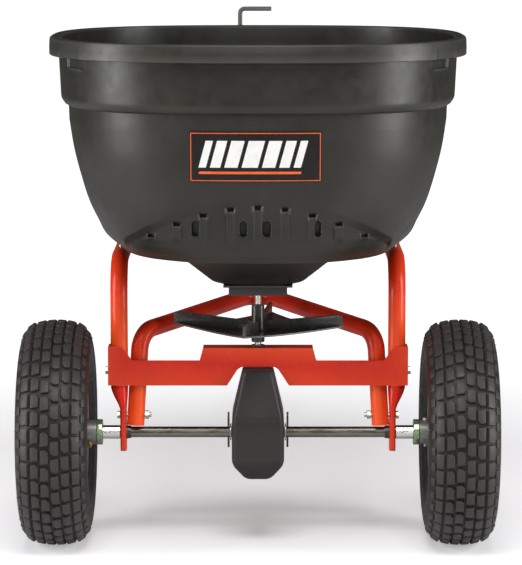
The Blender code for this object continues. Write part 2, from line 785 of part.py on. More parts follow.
# Lever bracket on the left side of the tongue
BX = -TUBE_R - GAP
bracket = prism(
    [
        (LEVER_Y - 0.016, PIVOT_Z - 0.012),
        (LEVER_Y + 0.016, PIVOT_Z - 0.012),
        (LEVER_Y + 0.050, LEVER_TUBE_Z - 0.016),
        (LEVER_Y + 0.050, LEVER_TUBE_Z + 0.012),
        (LEVER_Y - 0.016, LEVER_TUBE_Z + 0.012),
    ],
    BX - SHEET,
    BX,
    "X",
)
spacer = rod(
    (BX - SHEET + 0.0005, LEVER_Y, PIVOT_Z),
    (LEVER_X + 0.0015 + GAP, LEVER_Y, PIVOT_Z),
    0.0075,
    20,
)
bracket = cut(
    join(bracket, spacer),
    rod((BX - 0.03, LEVER_Y, PIVOT_Z), (BX + 0.01, LEVER_Y, PIVOT_Z), 0.0043, 16),
)
adopt(bracket, "lever_bracket", ORANGE)
bolt = join(
    rod((BX + GAP, LEVER_Y, PIVOT_Z), (BX + 0.0055, LEVER_Y, PIVOT_Z), 0.0070, 6),
    rod((BX + 0.002, LEVER_Y, PIVOT_Z), (LEVER_X - 0.0095, LEVER_Y, PIVOT_Z), 0.0039, 16),
    rod((LEVER_X - 0.0015 - GAP, LEVER_Y, PIVOT_Z), (LEVER_X - 0.0070, LEVER_Y, PIVOT_Z), 0.0070, 6),
)
adopt(bolt, "lever_pivot_bolt", ZINC)

# Side bolts of the cross plate, and the bolts through the crossover ends
for side, tag in ((-1, "left"), (1, "right")):
    z = PLATE_Z + 0.020
    bolt = join(
        rod((side * (EAR + GAP), AY, z), (side * (EAR + 0.0045), AY, z), 0.0060, 6),
        rod((side * (EAR + 0.002), AY, z), (side * (FRAME_X + 0.004), AY, z), 0.0031, 16),
    )
    adopt(bolt, "side_bolt_" + tag, ZINC)
    head = FLAT_X + FLAT_T / 2 + GAP
    bolt = join(
        rod((side * head, AY, CROSS_BOLT), (side * (head + 0.0045), AY, CROSS_BOLT), 0.0060, 6),
        rod((side * (head + 0.002), AY, CROSS_BOLT), (side * (cx - 0.0235), AY, CROSS_BOLT), 0.0033, 16),
    )
    adopt(bolt, "crossover_bolt_" + tag, ZINC)
    lean = LEAN * (CROSS_BOLT - CROSS_LOW + 0.0065) / (AXLE_Z + 0.147 - CROSS_LOW)
    start = side * (cx - TUBE_R - lean - GAP)
    end = side * (cx - TUBE_R - lean - 0.0060)
    adopt(
        nut((start, AY, CROSS_BOLT), (end, AY, CROSS_BOLT), 0.0036, 0.0065),
        "crossover_nut_" + tag,
        ZINC,
    )
    # Plain bushing in the flat of the frame tube, with a collar inside
    flat_in = FLAT_X - FLAT_T / 2
    tubelet = cut(
        join(
            rod((side * (flat_in + FLAT_T), AY, AXLE_Z), (side * (flat_in - 0.002), AY, AXLE_Z), 0.0100, 16),
            rod((side * (flat_in - GAP), AY, AXLE_Z), (side * (flat_in - 0.0065), AY, AXLE_Z), 0.0095, 16),
        ),
        rod((side * (flat_in + 0.03), AY, AXLE_Z), (side * (flat_in - 0.03), AY, AXLE_Z), AXLE_R + GAP, 16),
    )
    adopt(tubelet, "axle_bushing_" + tag, BLACK)

# Gearbox housing: two halves that meet on the plane of the axle and the shaft
G_LOW = AXLE_Z - 0.0646
G_SIDE = AXLE_Z + 0.0250
G_TOP = AXLE_Z + 0.0970


def housing_shape(inset, sign):
    front_view = [
        (0.0180 - inset, G_LOW + inset),
        (0.0380 - inset, AXLE_Z - 0.0390),
        (0.0380 - inset, G_SIDE),
        (0.0215 - inset, G_TOP - inset),
    ]
    front_view += [(-u, v) for u, v in reversed(front_view)]
    side_view = [
        (0.0, G_LOW + inset),
        (0.036 - inset, G_LOW + inset),
        (0.052 - inset, AXLE_Z - 0.0420),
        (0.052 - inset, G_SIDE),
        (0.030 - inset, G_TOP - inset),
        (0.0, G_TOP - inset),
    ]
    cut_y = AY + sign * GAP / 2
    side_view = [(cut_y + sign * u, v) for u, v in side_view]
    low, high = sorted((cut_y, cut_y + sign * 0.08))
    return overlap(prism(front_view, low, high), prism(side_view, -0.06, 0.06, "X"))


for sign, tag in ((-1, "rear"), (1, "front")):
    skin = housing_shape(0.0, sign)
    skin = softened(skin, 0.0045, 1, 20)
    neck_low, neck_high = sorted((AY + sign * GAP / 2, AY + sign * 0.02))
    neck = overlap(
        rod((0, AY, G_TOP - 0.006), (0, AY, PLATE_Z + 0.048), 0.0112, 24),
        box(-0.02, 0.02, neck_low, neck_high, G_TOP - 0.01, G_TOP + 0.04),
    )
    skin = join(skin, neck)
    clear = box(-0.06, 0.06, *sorted((AY + sign * GAP / 2, AY - sign * 0.06)), G_LOW - 0.01, G_TOP + 0.05)
    hollowed = cut(
        skin,
        clear,
        housing_shape(0.0028, sign),
        box(-0.0352, 0.0352, AY - 0.003, AY + 0.003, G_LOW + 0.006, G_SIDE),
        box(-0.0165, 0.0165, AY - 0.003, AY + 0.003, G_LOW + 0.006, G_TOP - 0.004),
        rod((-0.06, AY, AXLE_Z), (0.06, AY, AXLE_Z), AXLE_R + GAP, 24),
        rod((0, AY, G_TOP - 0.02), (0, AY, G_TOP + 0.05), SHAFT_R + GAP, 20),
    )
    adopt(hollowed, "gearbox_housing_" + tag, BLACK)

# Axle and everything that turns with it
AXLE_END = TRACK / 2 + TYRE_W / 2 - 0.0015
COTTER_X = 0.0432
axle = rod((-AXLE_END, AY, AXLE_Z), (AXLE_END, AY, AXLE_Z), AXLE_R, 24)
HUB_OUT = TRACK / 2 + 0.0340
END_COTTER = HUB_OUT + 0.0063
DRIVE_PIN = HUB_X + 0.010
holes = []
for x, r in (
    (-END_COTTER, 0.0020),
    (END_COTTER, 0.0020),
    (-COTTER_X, 0.0018),
    (COTTER_X, 0.0018),
    (DRIVE_PIN, 0.0029),
):
    holes.append(rod((x, AY, AXLE_Z - 0.02), (x, AY, AXLE_Z + 0.02), r, 16))
adopt(cut(axle, *holes), "axle", ZINC, (0, AY, AXLE_Z))


def ring(x0, x1, outside, inside, sides=16):
    return cut(
        rod((x0, AY, AXLE_Z), (x1, AY, AXLE_Z), outside, sides),
        rod((x0 - 0.01, AY, AXLE_Z), (x1 + 0.01, AY, AXLE_Z), inside, sides),
    )


def split_pin(x, reach, radius=0.0015):
    """A straight cotter with an eye at the top."""
    return join(
        rod((x, AY, AXLE_Z - reach), (x, AY, AXLE_Z + reach), radius, 12),
        rod((x - 0.0014, AY, AXLE_Z + reach + 0.003), (x + 0.0014, AY, AXLE_Z + reach + 0.003), 0.0042, 14),
    )


SLEEVE_IN = FLAT_X + FLAT_T / 2 + 0.0006
HUB_WASHER = HUB_X - 0.0080
for side, tag in ((-1, "left"), (1, "right")):
    a, b = sorted((side * SLEEVE_IN, side * (HUB_WASHER - GAP)))
    adopt(ring(a, b, 0.0101, AXLE_R + GAP), "axle_sleeve_" + tag, STEEL, (side * SLEEVE_IN, AY, AXLE_Z))
    a, b = sorted((side * 0.0392, side * 0.0410))
    adopt(ring(a, b, 0.0125, AXLE_R + GAP), "gearbox_washer_" + tag, ZINC, (side * 0.0392, AY, AXLE_Z))
    adopt(split_pin(side * COTTER_X, 0.0225), "gearbox_cotter_" + tag, ZINC, (side * COTTER_X, AY, AXLE_Z))
    a, b = sorted((side * (HUB_OUT + GAP), side * (HUB_OUT + 0.0023)))
    adopt(ring(a, b, 0.0150, AXLE_R + GAP), "end_washer_" + tag, ZINC, (side * HUB_OUT, AY, AXLE_Z))
    adopt(split_pin(side * END_COTTER, 0.0135), "end_cotter_" + tag, ZINC, (side * END_COTTER, AY, AXLE_Z))

# Axle gear: a disc with teeth on its face, pinned to the axle
MESH_R = 0.041
PITCH = math.tau * MESH_R / GEAR_TEETH
DISC_X = 0.0128
TOOTH_TIP = 0.0088
gear = join(
    rod((DISC_X, AY, AXLE_Z), (DISC_X + 0.0048, AY, AXLE_Z), 0.0462, 64),
    rod((DISC_X + 0.002, AY, AXLE_Z), (0.0330, AY, AXLE_Z), 0.0135, 24),
)
teeth = bmesh.new()
for k in range(GEAR_TEETH):
    angle = math.tau * k / GEAR_TEETH
    turn = Matrix.Translation((0, AY, AXLE_Z)) @ Matrix.Rotation(angle, 4, "X")
    corners = []
    for x, half_t in ((TOOTH_TIP, 0.00085), (DISC_X + 0.0015, 0.0019)):
        for r in (0.0360, 0.0455):
            grow = half_t * r / MESH_R
            corners.append(turn @ Vector((x, -grow, r)))
            corners.append(turn @ Vector((x, grow, r)))
    tooth = bmesh.new()
    spots = [tooth.verts.new(c) for c in corners]
    for face in ((0, 1, 3, 2), (4, 5, 7, 6), (0, 1, 5, 4), (2, 3, 7, 6), (0, 2, 6, 4), (1, 3, 7, 5)):
        tooth.faces.new([spots[i] for i in face])
    extra = bpy.data.meshes.new("tooth")
    tooth.to_mesh(extra)
    tooth.free()
    teeth.from_mesh(extra)
gear = join(gear, mesh_from(teeth))
gear = cut(
    gear,
    rod((0, AY, AXLE_Z), (0.05, AY, AXLE_Z), AXLE_R + GAP, 24),
)
adopt(gear, "axle_gear", STEEL, (0, AY, AXLE_Z))

# Pinion on the foot of the impeller shaft, with half a pitch of phase to sit between teeth
PIN_R = MESH_R * PINION_TEETH / GEAR_TEETH
ROOT = 0.0080
TIP = 0.0120
PIN_LOW = AXLE_Z + MESH_R - 0.0055
PIN_HIGH = AXLE_Z + MESH_R + 0.0055
shape = []
for k in range(PINION_TEETH):
    middle = math.tau * (k + 0.5) / PINION_TEETH
    for r, half_t in ((ROOT, 0.0021), (TIP, 0.0009)):
        shape.append((middle - half_t / r, r))
    for r, half_t in ((TIP, 0.0009), (ROOT, 0.0021)):
        shape.append((middle + half_t / r, r))
star = [(r * math.cos(t), AY + r * math.sin(t)) for t, r in shape]
pinion = cut(
    prism(star, PIN_LOW, PIN_HIGH, "Z"),
    rod((0, AY, PIN_LOW - 0.01), (0, AY, PIN_HIGH + 0.01), SHAFT_R + GAP, 20),
)
adopt(pinion, "pinion", STEEL, (0, AY, AXLE_Z + MESH_R))

# Impeller shaft and what it carries
SHAFT_LOW = AXLE_Z + 0.0240
SHAFT_TOP = HOPPER_Z + 0.040
PIN_HOLE = AXLE_Z + 0.1830
shaft = cut(
    rod((0, AY, SHAFT_LOW), (0, AY, SHAFT_TOP), SHAFT_R, 20),
    rod((-0.02, AY, PIN_HOLE), (0.02, AY, PIN_HOLE), 0.0019, 12),
    rod((-0.02, AY, SHAFT_TOP - 0.010), (0.02, AY, SHAFT_TOP - 0.010), 0.0024, 12),
)
adopt(shaft, "impeller_shaft", STEEL, (0, AY, AXLE_Z + MESH_R))
DISH_LOW = AXLE_Z + 0.1470
TIP_LOW = AXLE_Z + 0.1580
HUB_LOW = AXLE_Z + 0.1340
HUB_TOP = AXLE_Z + 0.1895
FAN_TURN = math.radians(-9.0)


def fan(points):
    turn = Matrix.Translation((0, AY, 0)) @ Matrix.Rotation(FAN_TURN, 4, "Z")
    return [turn @ Vector(p) for p in points]


form = bmesh.new()
layers = []
for lift in (0.0, 0.0026):
    rim = []
    for k in range(16):
        quarter, part = divmod(k, 4)
        angle = quarter * math.pi / 2
        t = part / 4
        u = IMPELLER_R * (1 - t)
        v = IMPELLER_R * t
        pull = 1 - 0.10 * math.sin(math.pi * t)
        x = (u * math.cos(angle) - v * math.sin(angle)) * pull
        y = (u * math.sin(angle) + v * math.cos(angle)) * pull
        share = math.hypot(x, y) / IMPELLER_R
        z = DISH_LOW + (TIP_LOW - DISH_LOW) * share + lift
        rim.append(form.verts.new(fan([(x * 0.995, y * 0.995, z)])[0]))
    centre = form.verts.new((0, AY, DISH_LOW + lift))
    layers.append((rim, centre))
for rim, centre in layers:
    for k in range(16):
        form.faces.new([rim[k], rim[(k + 1) % 16], centre])
for k in range(16):
    n = (k + 1) % 16
    form.faces.new([layers[0][0][k], layers[0][0][n], layers[1][0][n], layers[1][0][k]])
dish = mesh_from(form)
vanes = []
for k in range(4):
    angle = k * math.pi / 2
    turn = Matrix.Translation((0, AY, 0)) @ Matrix.Rotation(FAN_TURN + angle, 4, "Z")
    form = bmesh.new()
    side_view = [
        (0.006, DISH_LOW + 0.0012),
        (IMPELLER_R - 0.003, TIP_LOW + 0.0006),
        (IMPELLER_R, TIP_LOW + 0.0040),
        (IMPELLER_R, AXLE_Z + 0.1740),
        (IMPELLER_R - 0.004, AXLE_Z + 0.1780),
        (0.006, AXLE_Z + 0.1655),
    ]
    faces = []
    for y in (-0.0020, 0.0020):
        faces.append([form.verts.new(turn @ Vector((u, y, v))) for u, v in side_view])
    form.faces.new(faces[0])
    form.faces.new(list(reversed(faces[1])))
    for j in range(6):
        n = (j + 1) % 6
        form.faces.new([faces[0][j], faces[0][n], faces[1][n], faces[1][j]])
    vanes.append(mesh_from(form))
impeller = join(dish, *vanes, rod((0, AY, HUB_LOW), (0, AY, HUB_TOP), 0.0096, 24))
impeller = cut(
    impeller,
    rod((0, AY, HUB_LOW - 0.01), (0, AY, HUB_TOP + 0.01), SHAFT_R + GAP, 20),
    rod((-0.02, AY, PIN_HOLE), (0.02, AY, PIN_HOLE), 0.0019, 12),
)
adopt(impeller, "impeller", BLACK, (0, AY, AXLE_Z + 0.16))
adopt(rod((-0.0092, AY, PIN_HOLE), (0.0092, AY, PIN_HOLE), 0.0015, 12), "impeller_pin", STEEL)
wire_z = SHAFT_TOP - 0.010
agitator = tube(
    [
        (-0.040, AY + 0.004, wire_z - 0.004),
        (-0.020, AY, wire_z),
        (0.020, AY, wire_z),
        (0.040, AY - 0.004, wire_z + 0.010),
    ],
    0.0020,
    0.006,
    2,
    3,
)
adopt(agitator, "agitator", STEEL, (0, AY, wire_z))

# Shaft bushings in the cross plate and in the floor of the hopper
deck = PLATE_Z + 0.0554
lower = cut(
    join(
        rod((0, AY, deck - 0.0045), (0, AY, deck + 0.001), 0.0072, 24),
        rod((0, AY, deck + GAP), (0, AY, deck + 0.0026), 0.0098, 24),
    ),
    rod((0, AY, deck - 0.02), (0, AY, deck + 0.02), SHAFT_R + GAP, 20),
)
adopt(lower, "plate_bushing", BLACK, (0, AY, deck))
floor = HOPPER_Z + WALL
upper = cut(
    join(
        rod((0, AY, HOPPER_Z + 0.0005), (0, AY, floor + 0.001), 0.0102, 24),
        rod((0, AY, floor + GAP), (0, AY, floor + 0.0026), 0.0128, 24),
    ),
    rod((0, AY, HOPPER_Z - 0.02), (0, AY, HOPPER_Z + 0.02), SHAFT_R + GAP, 20),
)
adopt(upper, "hopper_bushing", BLACK, (0, AY, floor))

# Wheels
BEAD = 0.462 * WHEEL_R
for side, tag in ((-1, "left"), (1, "right")):
    mid = side * TRACK / 2
    w = TYRE_W / 2
    top = WHEEL_R
    outside = [
        (BEAD + 0.004, 0.600),
        (BEAD + 0.018, 0.800),
        (BEAD + 0.043, 1.000),
        (BEAD + 0.061, 0.970),
        (top - 0.0125, 0.830),
        (top - 0.0050, 0.620),
        (top - 0.0012, 0.330),
        (top, 0.0),
    ]
    wall_in = 0.0065
    inside = [
        (BEAD + 0.004, 0.600 - wall_in / w),
        (BEAD + 0.019, 0.800 - wall_in / w),
        (BEAD + 0.043, 1.000 - wall_in / w),
        (BEAD + 0.060, 0.960 - wall_in / w),
        (top - 0.0190, 0.720),
        (top - 0.0095, 0.400),
        (top - 0.0085, 0.0),
    ]
    loop = [(r, u * w) for r, u in outside]
    loop += [(r, -u * w) for r, u in reversed(outside[:-1])]
    loop += [(r, -u * w) for r, u in inside]
    loop += [(r, u * w) for r, u in reversed(inside[:-1])]
    tyre = turned(loop, (mid, AY, AXLE_Z), "X", 34)
    adopt(tyre, "tyre_" + tag, RUBBER, (mid, AY, AXLE_Z))
    bore = AXLE_R + GAP
    drum = BEAD + 0.0035
    seat = 0.6 * w + 0.0002
    edge = 0.7 * w
    barrel = [
        (drum - 0.0030, 0.0020),
        (drum - 0.0030, seat + 0.0024),
        (drum + 0.0060, edge + 0.0040),
        (drum + 0.0085, edge + 0.0032),
        (drum + 0.0075, edge + 0.0010),
        (drum, seat),
    ]
    rim_loop = [(bore, HUB_X - TRACK / 2), (0.0180, HUB_X - TRACK / 2), (0.0180, -0.0020)]
    rim_loop += [(r, -u) for r, u in barrel]
    rim_loop += list(reversed(barrel))
    rim_loop += [(0.0180, 0.0020), (0.0180, HUB_OUT - TRACK / 2), (bore, HUB_OUT - TRACK / 2)]
    rim_loop = [(r, side * u) for r, u in rim_loop]
    rim = turned(rim_loop, (mid, AY, AXLE_Z), "X", 26)
    if side > 0:
        rim = cut(rim, rod((DRIVE_PIN, AY, AXLE_Z - 0.03), (DRIVE_PIN, AY, AXLE_Z + 0.03), 0.0029, 16))
    else:
        rim = cut(
            rim,
            rod((-DRIVE_PIN, AY, AXLE_Z), (-DRIVE_PIN, AY - 0.0155, AXLE_Z - 0.0155), 0.0031, 12),
        )
    adopt(rim, "wheel_rim_" + tag, RIM_PAINT, (mid, AY, AXLE_Z))
    a, b = sorted((side * HUB_WASHER, side * (HUB_X - GAP)))
    adopt(ring(a, b, 0.0190, AXLE_R + GAP), "hub_washer_" + tag, ZINC, (side * HUB_X, AY, AXLE_Z))
pin = join(
    rod((DRIVE_PIN, AY, AXLE_Z - 0.0215), (DRIVE_PIN, AY, AXLE_Z + 0.0215), 0.0026, 14),
    rod((DRIVE_PIN, AY, AXLE_Z + 0.0180), (DRIVE_PIN, AY, AXLE_Z + 0.0215), 0.0050, 14),
)
adopt(pin, "drive_pin", ZINC, (DRIVE_PIN, AY, AXLE_Z))
fitting = join(
    rod((-DRIVE_PIN, AY - 0.0100, AXLE_Z - 0.0100), (-DRIVE_PIN, AY - 0.0190, AXLE_Z - 0.0190), 0.0028, 12),
    rod((-DRIVE_PIN, AY - 0.0132, AXLE_Z - 0.0132), (-DRIVE_PIN, AY - 0.0155, AXLE_Z - 0.0155), 0.0043, 6),
)
adopt(fitting, "grease_fitting", BRASS, (-DRIVE_PIN, AY, AXLE_Z))
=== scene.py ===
"""Looks for the tow-behind broadcast spreader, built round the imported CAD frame.

Metres, +Z up, +X to the right seen from behind, +Y towards the tow vehicle.
"""

import json
import math
import random

import bmesh
import bpy
import numpy as np
from mathutils import Matrix, Vector


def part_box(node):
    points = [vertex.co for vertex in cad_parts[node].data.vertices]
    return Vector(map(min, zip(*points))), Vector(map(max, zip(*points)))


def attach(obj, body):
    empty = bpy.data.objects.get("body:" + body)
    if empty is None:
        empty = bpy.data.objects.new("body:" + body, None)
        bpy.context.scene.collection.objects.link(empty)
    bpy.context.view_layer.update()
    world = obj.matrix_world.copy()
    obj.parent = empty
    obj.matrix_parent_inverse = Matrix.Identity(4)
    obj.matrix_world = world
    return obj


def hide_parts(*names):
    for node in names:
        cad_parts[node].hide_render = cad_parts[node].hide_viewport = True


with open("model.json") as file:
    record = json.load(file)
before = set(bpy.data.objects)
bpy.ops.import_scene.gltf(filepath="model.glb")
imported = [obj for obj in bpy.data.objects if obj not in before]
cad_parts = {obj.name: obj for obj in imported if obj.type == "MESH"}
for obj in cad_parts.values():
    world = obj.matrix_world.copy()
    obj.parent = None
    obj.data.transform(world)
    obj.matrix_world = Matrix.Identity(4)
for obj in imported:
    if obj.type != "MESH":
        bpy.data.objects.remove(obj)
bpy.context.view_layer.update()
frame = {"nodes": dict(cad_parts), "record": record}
random.seed(7)

# Places taken from the frame
axle_low, axle_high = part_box("axle")
AY = (axle_low.y + axle_high.y) / 2
AXLE_Z = (axle_low.z + axle_high.z) / 2
AXLE_R = (axle_high.z - axle_low.z) / 2
hop_low, hop_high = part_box("hopper")
HOPPER_Z = hop_low.z
RIM_Z = hop_high.z
HOPPER_H = RIM_Z - HOPPER_Z
HALF_W = 0.298  # half the hopper's width over its rim, without the lugs
DEPTH_SHARE = 0.600 / 0.596
HY = (hop_low.y + hop_high.y) / 2
tyre_low, tyre_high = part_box("tyre_right")
WHEEL_X = (tyre_low.x + tyre_high.x) / 2
WHEEL_R = (tyre_high.z - tyre_low.z) / 2
TYRE_W = tyre_high.x - tyre_low.x
tube_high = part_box("frame_tube_right")[1]
TUBE_R = 0.0127  # 1 inch tube
FRAME_X = tube_high.x - TUBE_R
RUN_Z = tube_high.z - TUBE_R
GAP = 0.0003  # clearance between neighbouring pieces


# ---------------------------------------------------------------- materials
def node(tree, kind, **values):
    """A new node, its sockets or settings given by name."""
    made = tree.nodes.new(kind)
    for key, value in values.items():
        if key in made.inputs:
            made.inputs[key].default_value = value
        else:
            setattr(made, key, value)
    return made


def noise(tree, place, scale, detail=3.0, rough=0.55):
    made = node(tree, "ShaderNodeTexNoise", Scale=scale, Detail=detail, Roughness=rough)
    tree.links.new(place, made.inputs["Vector"])
    return made.outputs["Fac"]


def ramp(tree, value, stops):
    made = tree.nodes.new("ShaderNodeValToRGB")
    while len(made.color_ramp.elements) < len(stops):
        made.color_ramp.elements.new(0.5)
    for element, (at, colour) in zip(made.color_ramp.elements, stops):
        element.position = at
        element.color = (*colour, 1.0)
    tree.links.new(value, made.inputs["Fac"])
    return made.outputs["Color"]


def spread(tree, value, low, high, start=0.3, end=0.7):
    """The value's range from start to end, stretched to low and high."""
    made = tree.nodes.new("ShaderNodeMapRange")
    made.inputs["From Min"].default_value = start
    made.inputs["From Max"].default_value = end
    made.inputs["To Min"].default_value = low
    made.inputs["To Max"].default_value = high
    tree.links.new(value, made.inputs["Value"])
    return made.outputs["Result"]


def mixed(tree, share, first, second, how="MIX"):
    """Two colours mixed, each a colour or a socket."""
    made = tree.nodes.new("ShaderNodeMix")
    made.data_type = "RGBA"
    made.blend_type = how
    # inputs 0, 6 and 7 are the factor and the two colours
    for socket, value in ((made.inputs[0], share), (made.inputs[6], first), (made.inputs[7], second)):
        if isinstance(value, (int, float)):
            socket.default_value = value
        elif isinstance(value, tuple):
            socket.default_value = (*value, 1.0)
        else:
            tree.links.new(value, socket)
    return made.outputs[2]


def surface(name, colours, rough, metal=0.0, blotch=18.0, grain=900.0, bump=0.15, depth=0.0003,
            specular=0.5, coat=0.0, coat_rough=0.2, edge_highlight=None, stretch=(1, 1, 1)):
    """A procedural finish: blotchy colour, roughness variation, grain bump and a painted highlight that
    lightens convex edges.
    """
    made = bpy.data.materials.new(name)
    made.use_nodes = True
    tree = made.node_tree
    shader = tree.nodes["Principled BSDF"]
    coords = tree.nodes.new("ShaderNodeTexCoord").outputs["Object"]
    mapping = node(tree, "ShaderNodeMapping", Scale=stretch)
    tree.links.new(coords, mapping.inputs["Vector"])
    place = mapping.outputs["Vector"]
    big = noise(tree, place, blotch, 4.0, 0.6)
    fine = noise(tree, place, grain, 2.0, 0.6)
    colour = ramp(tree, big, [(0.30, colours[0]), (0.70, colours[1])])
    speck = ramp(tree, fine, [(0.35, (0.72, 0.72, 0.72)), (0.65, (1.0, 1.0, 1.0))])
    colour = mixed(tree, 0.55, colour, speck, "MULTIPLY")
    # convex edges, found by pointiness, are mixed towards the edge_highlight colour: a painted highlight
    # along the edges
    if edge_highlight is not None:
        edges = tree.nodes.new("ShaderNodeNewGeometry").outputs["Pointiness"]
        edge_lit = spread(tree, edges, 0.0, 1.0, 0.515, 0.58)
        colour = mixed(tree, edge_lit, colour, edge_highlight)
    tree.links.new(colour, shader.inputs["Base Color"])
    mid = noise(tree, place, blotch * 4.0, 3.0, 0.6)
    tree.links.new(spread(tree, mid, rough[0], rough[1]), shader.inputs["Roughness"])
    shader.inputs["Metallic"].default_value = metal
    shader.inputs["Specular IOR Level"].default_value = specular
    shader.inputs["Coat Weight"].default_value = coat
    shader.inputs["Coat Roughness"].default_value = coat_rough
    relief = node(tree, "ShaderNodeBump", Strength=bump, Distance=depth)
    tree.links.new(fine, relief.inputs["Height"])
    tree.links.new(relief.outputs["Normal"], shader.inputs["Normal"])
    return made


# Each edge_highlight colour below is a painted highlight on convex edges.
POLY = surface("hopper_poly", ((0.013, 0.012, 0.0075), (0.024, 0.023, 0.017)), (0.33, 0.46),
               blotch=14, grain=700, bump=0.35, depth=0.0004, specular=0.42,
               edge_highlight=(0.075, 0.070, 0.062))
# near-black for the notches, slots and side pockets: painted shade inside these recesses
POLY_PAINTED_SHADE = surface("hopper_recess_painted_shade", ((0.004, 0.004, 0.003), (0.007, 0.006, 0.005)), (0.6, 0.8))
ORANGE = surface("orange_coat", ((0.66, 0.014, 0.004), (0.80, 0.026, 0.005)), (0.28, 0.40),
                 blotch=9, grain=420, bump=0.10, depth=0.0003, specular=0.28, coat=0.10,
                 coat_rough=0.15, edge_highlight=(0.90, 0.09, 0.015))
BLACK = surface("black_plastic", ((0.012, 0.012, 0.009), (0.022, 0.021, 0.017)), (0.28, 0.45),
                blotch=25, grain=900, bump=0.3, depth=0.0003, edge_highlight=(0.05, 0.047, 0.043))
HOUSING = surface("housing_plastic", ((0.014, 0.011, 0.0105), (0.022, 0.017, 0.0165)), (0.36, 0.50),
                  blotch=30, grain=1100, bump=0.45, depth=0.0004, specular=0.3, edge_highlight=(0.10, 0.09, 0.088))
FAN = surface("impeller_plastic", ((0.012, 0.012, 0.010), (0.024, 0.023, 0.019)), (0.20, 0.34),
              blotch=25, grain=600, bump=0.12, depth=0.0003, edge_highlight=(0.07, 0.067, 0.062))
LEVER = surface("black_coat", ((0.018, 0.018, 0.018), (0.035, 0.034, 0.034)), (0.25, 0.42),
                blotch=60, grain=800, bump=0.1, edge_highlight=(0.12, 0.12, 0.12))
ZINC = surface("zinc_steel", ((0.36, 0.39, 0.30), (0.58, 0.60, 0.50)), (0.28, 0.48), metal=0.9,
               blotch=90, grain=1500, bump=0.12, depth=0.0002)
AXLE = surface("axle_steel", ((0.10, 0.095, 0.075), (0.30, 0.29, 0.25)), (0.18, 0.36), metal=0.95,
               blotch=45, grain=900, bump=0.15, depth=0.0002, stretch=(0.15, 1, 1))
STEEL = surface("bright_steel", ((0.62, 0.62, 0.58), (0.82, 0.82, 0.79)), (0.14, 0.26), metal=1.0,
                blotch=50, grain=1500, bump=0.06, depth=0.0002)
HUB = surface("hub_steel", ((0.20, 0.21, 0.19), (0.31, 0.32, 0.30)), (0.35, 0.5), metal=0.6,
              blotch=60, grain=900, bump=0.15)
FLANGE = surface("flange_zinc", ((0.20, 0.34, 0.17), (0.42, 0.50, 0.36)), (0.25, 0.4), metal=0.8,
                 blotch=120, grain=1500, bump=0.1)
RIM = surface("rim_paint", ((0.20, 0.165, 0.175), (0.30, 0.255, 0.265)), (0.32, 0.5), metal=0.25,
              blotch=30, grain=700, bump=0.12, edge_highlight=(0.5, 0.47, 0.47))
RUBBER = surface("tyre_rubber", ((0.010, 0.0095, 0.007), (0.026, 0.024, 0.020)), (0.36, 0.58),
                 blotch=35, grain=650, bump=0.5, depth=0.0005, specular=0.32,
                 edge_highlight=(0.050, 0.045, 0.044))
LABEL = surface("label_film", ((0.008, 0.007, 0.005), (0.013, 0.011, 0.008)), (0.25, 0.36),
                blotch=50, grain=900, bump=0.05, specular=0.25)
INK_WHITE = surface("label_ink_pale", ((0.80, 0.80, 0.78), (0.90, 0.90, 0.88)), (0.3, 0.42),
                    blotch=60, grain=900, bump=0.05)
INK_ORANGE = surface("label_ink_orange", ((0.80, 0.10, 0.015), (0.90, 0.15, 0.03)), (0.3, 0.42),
                     blotch=60, grain=900, bump=0.05)
BRASS = surface("brass", ((0.55, 0.40, 0.10), (0.75, 0.58, 0.20)), (0.2, 0.35), metal=1.0,
                blotch=200, grain=2000, bump=0.05)


# ---------------------------------------------------------------- mesh tools
def finish_mesh(mesh, angle=35):
    mesh.shade_smooth()
    mesh.set_sharp_from_angle(angle=math.radians(angle))


def piece(name, mesh, skin, body, replaces=(), angle=35):
    """A finished mesh as a named piece that rides on a body."""
    mesh.name = name
    for one in skin if isinstance(skin, (list, tuple)) else [skin]:
        mesh.materials.append(one)
    finish_mesh(mesh, angle)
    made = bpy.data.objects.new(name, mesh)
    bpy.context.scene.collection.objects.link(made)
    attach(made, body)
    if replaces:
        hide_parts(*replaces)
    return made


def to_mesh(form, merge=1e-6):
    bmesh.ops.remove_doubles(form, verts=form.verts, dist=merge)
    bmesh.ops.recalc_face_normals(form, faces=form.faces)
    mesh = bpy.data.meshes.new("shape")
    form.to_mesh(mesh)
    form.free()
    return mesh


def grid_mesh(points, close_v=False):
    """A mesh from a (rows, columns, 3) array of points; each row is a closed ring."""
    rows, cols = points.shape[:2]
    index = np.arange(rows * cols).reshape(rows, cols)
    a = index if close_v else index[:-1]
    b = np.roll(index, -1, 0) if close_v else index[1:]
    quads = np.stack([a, np.roll(a, -1, 1), np.roll(b, -1, 1), b], -1).reshape(-1, 4)
    mesh = bpy.data.meshes.new("grid")
    mesh.from_pydata(points.reshape(-1, 3).tolist(), [], quads.tolist())
    return mesh


def baked(mesh, *modifiers):
    """The mesh after modifiers, each a (kind, settings) pair."""
    made = bpy.data.objects.new("work", mesh)
    bpy.context.scene.collection.objects.link(made)
    for kind, settings in modifiers:
        step = made.modifiers.new(kind.lower(), kind)
        for key, value in settings.items():
            setattr(step, key, value)
    bpy.context.view_layer.update()
    out = bpy.data.meshes.new_from_object(made.evaluated_get(bpy.context.evaluated_depsgraph_get()))
    bpy.data.objects.remove(made, do_unlink=True)
    return out


def bevel(width, segments, angle):
    """Settings for baked(): a bevel on edges sharper than the angle."""
    return (
        "BEVEL",
        {
            "width": width,
            "segments": segments,
            "limit_method": "ANGLE",
            "angle_limit": math.radians(angle),
            "use_clamp_overlap": True,
        },
    )


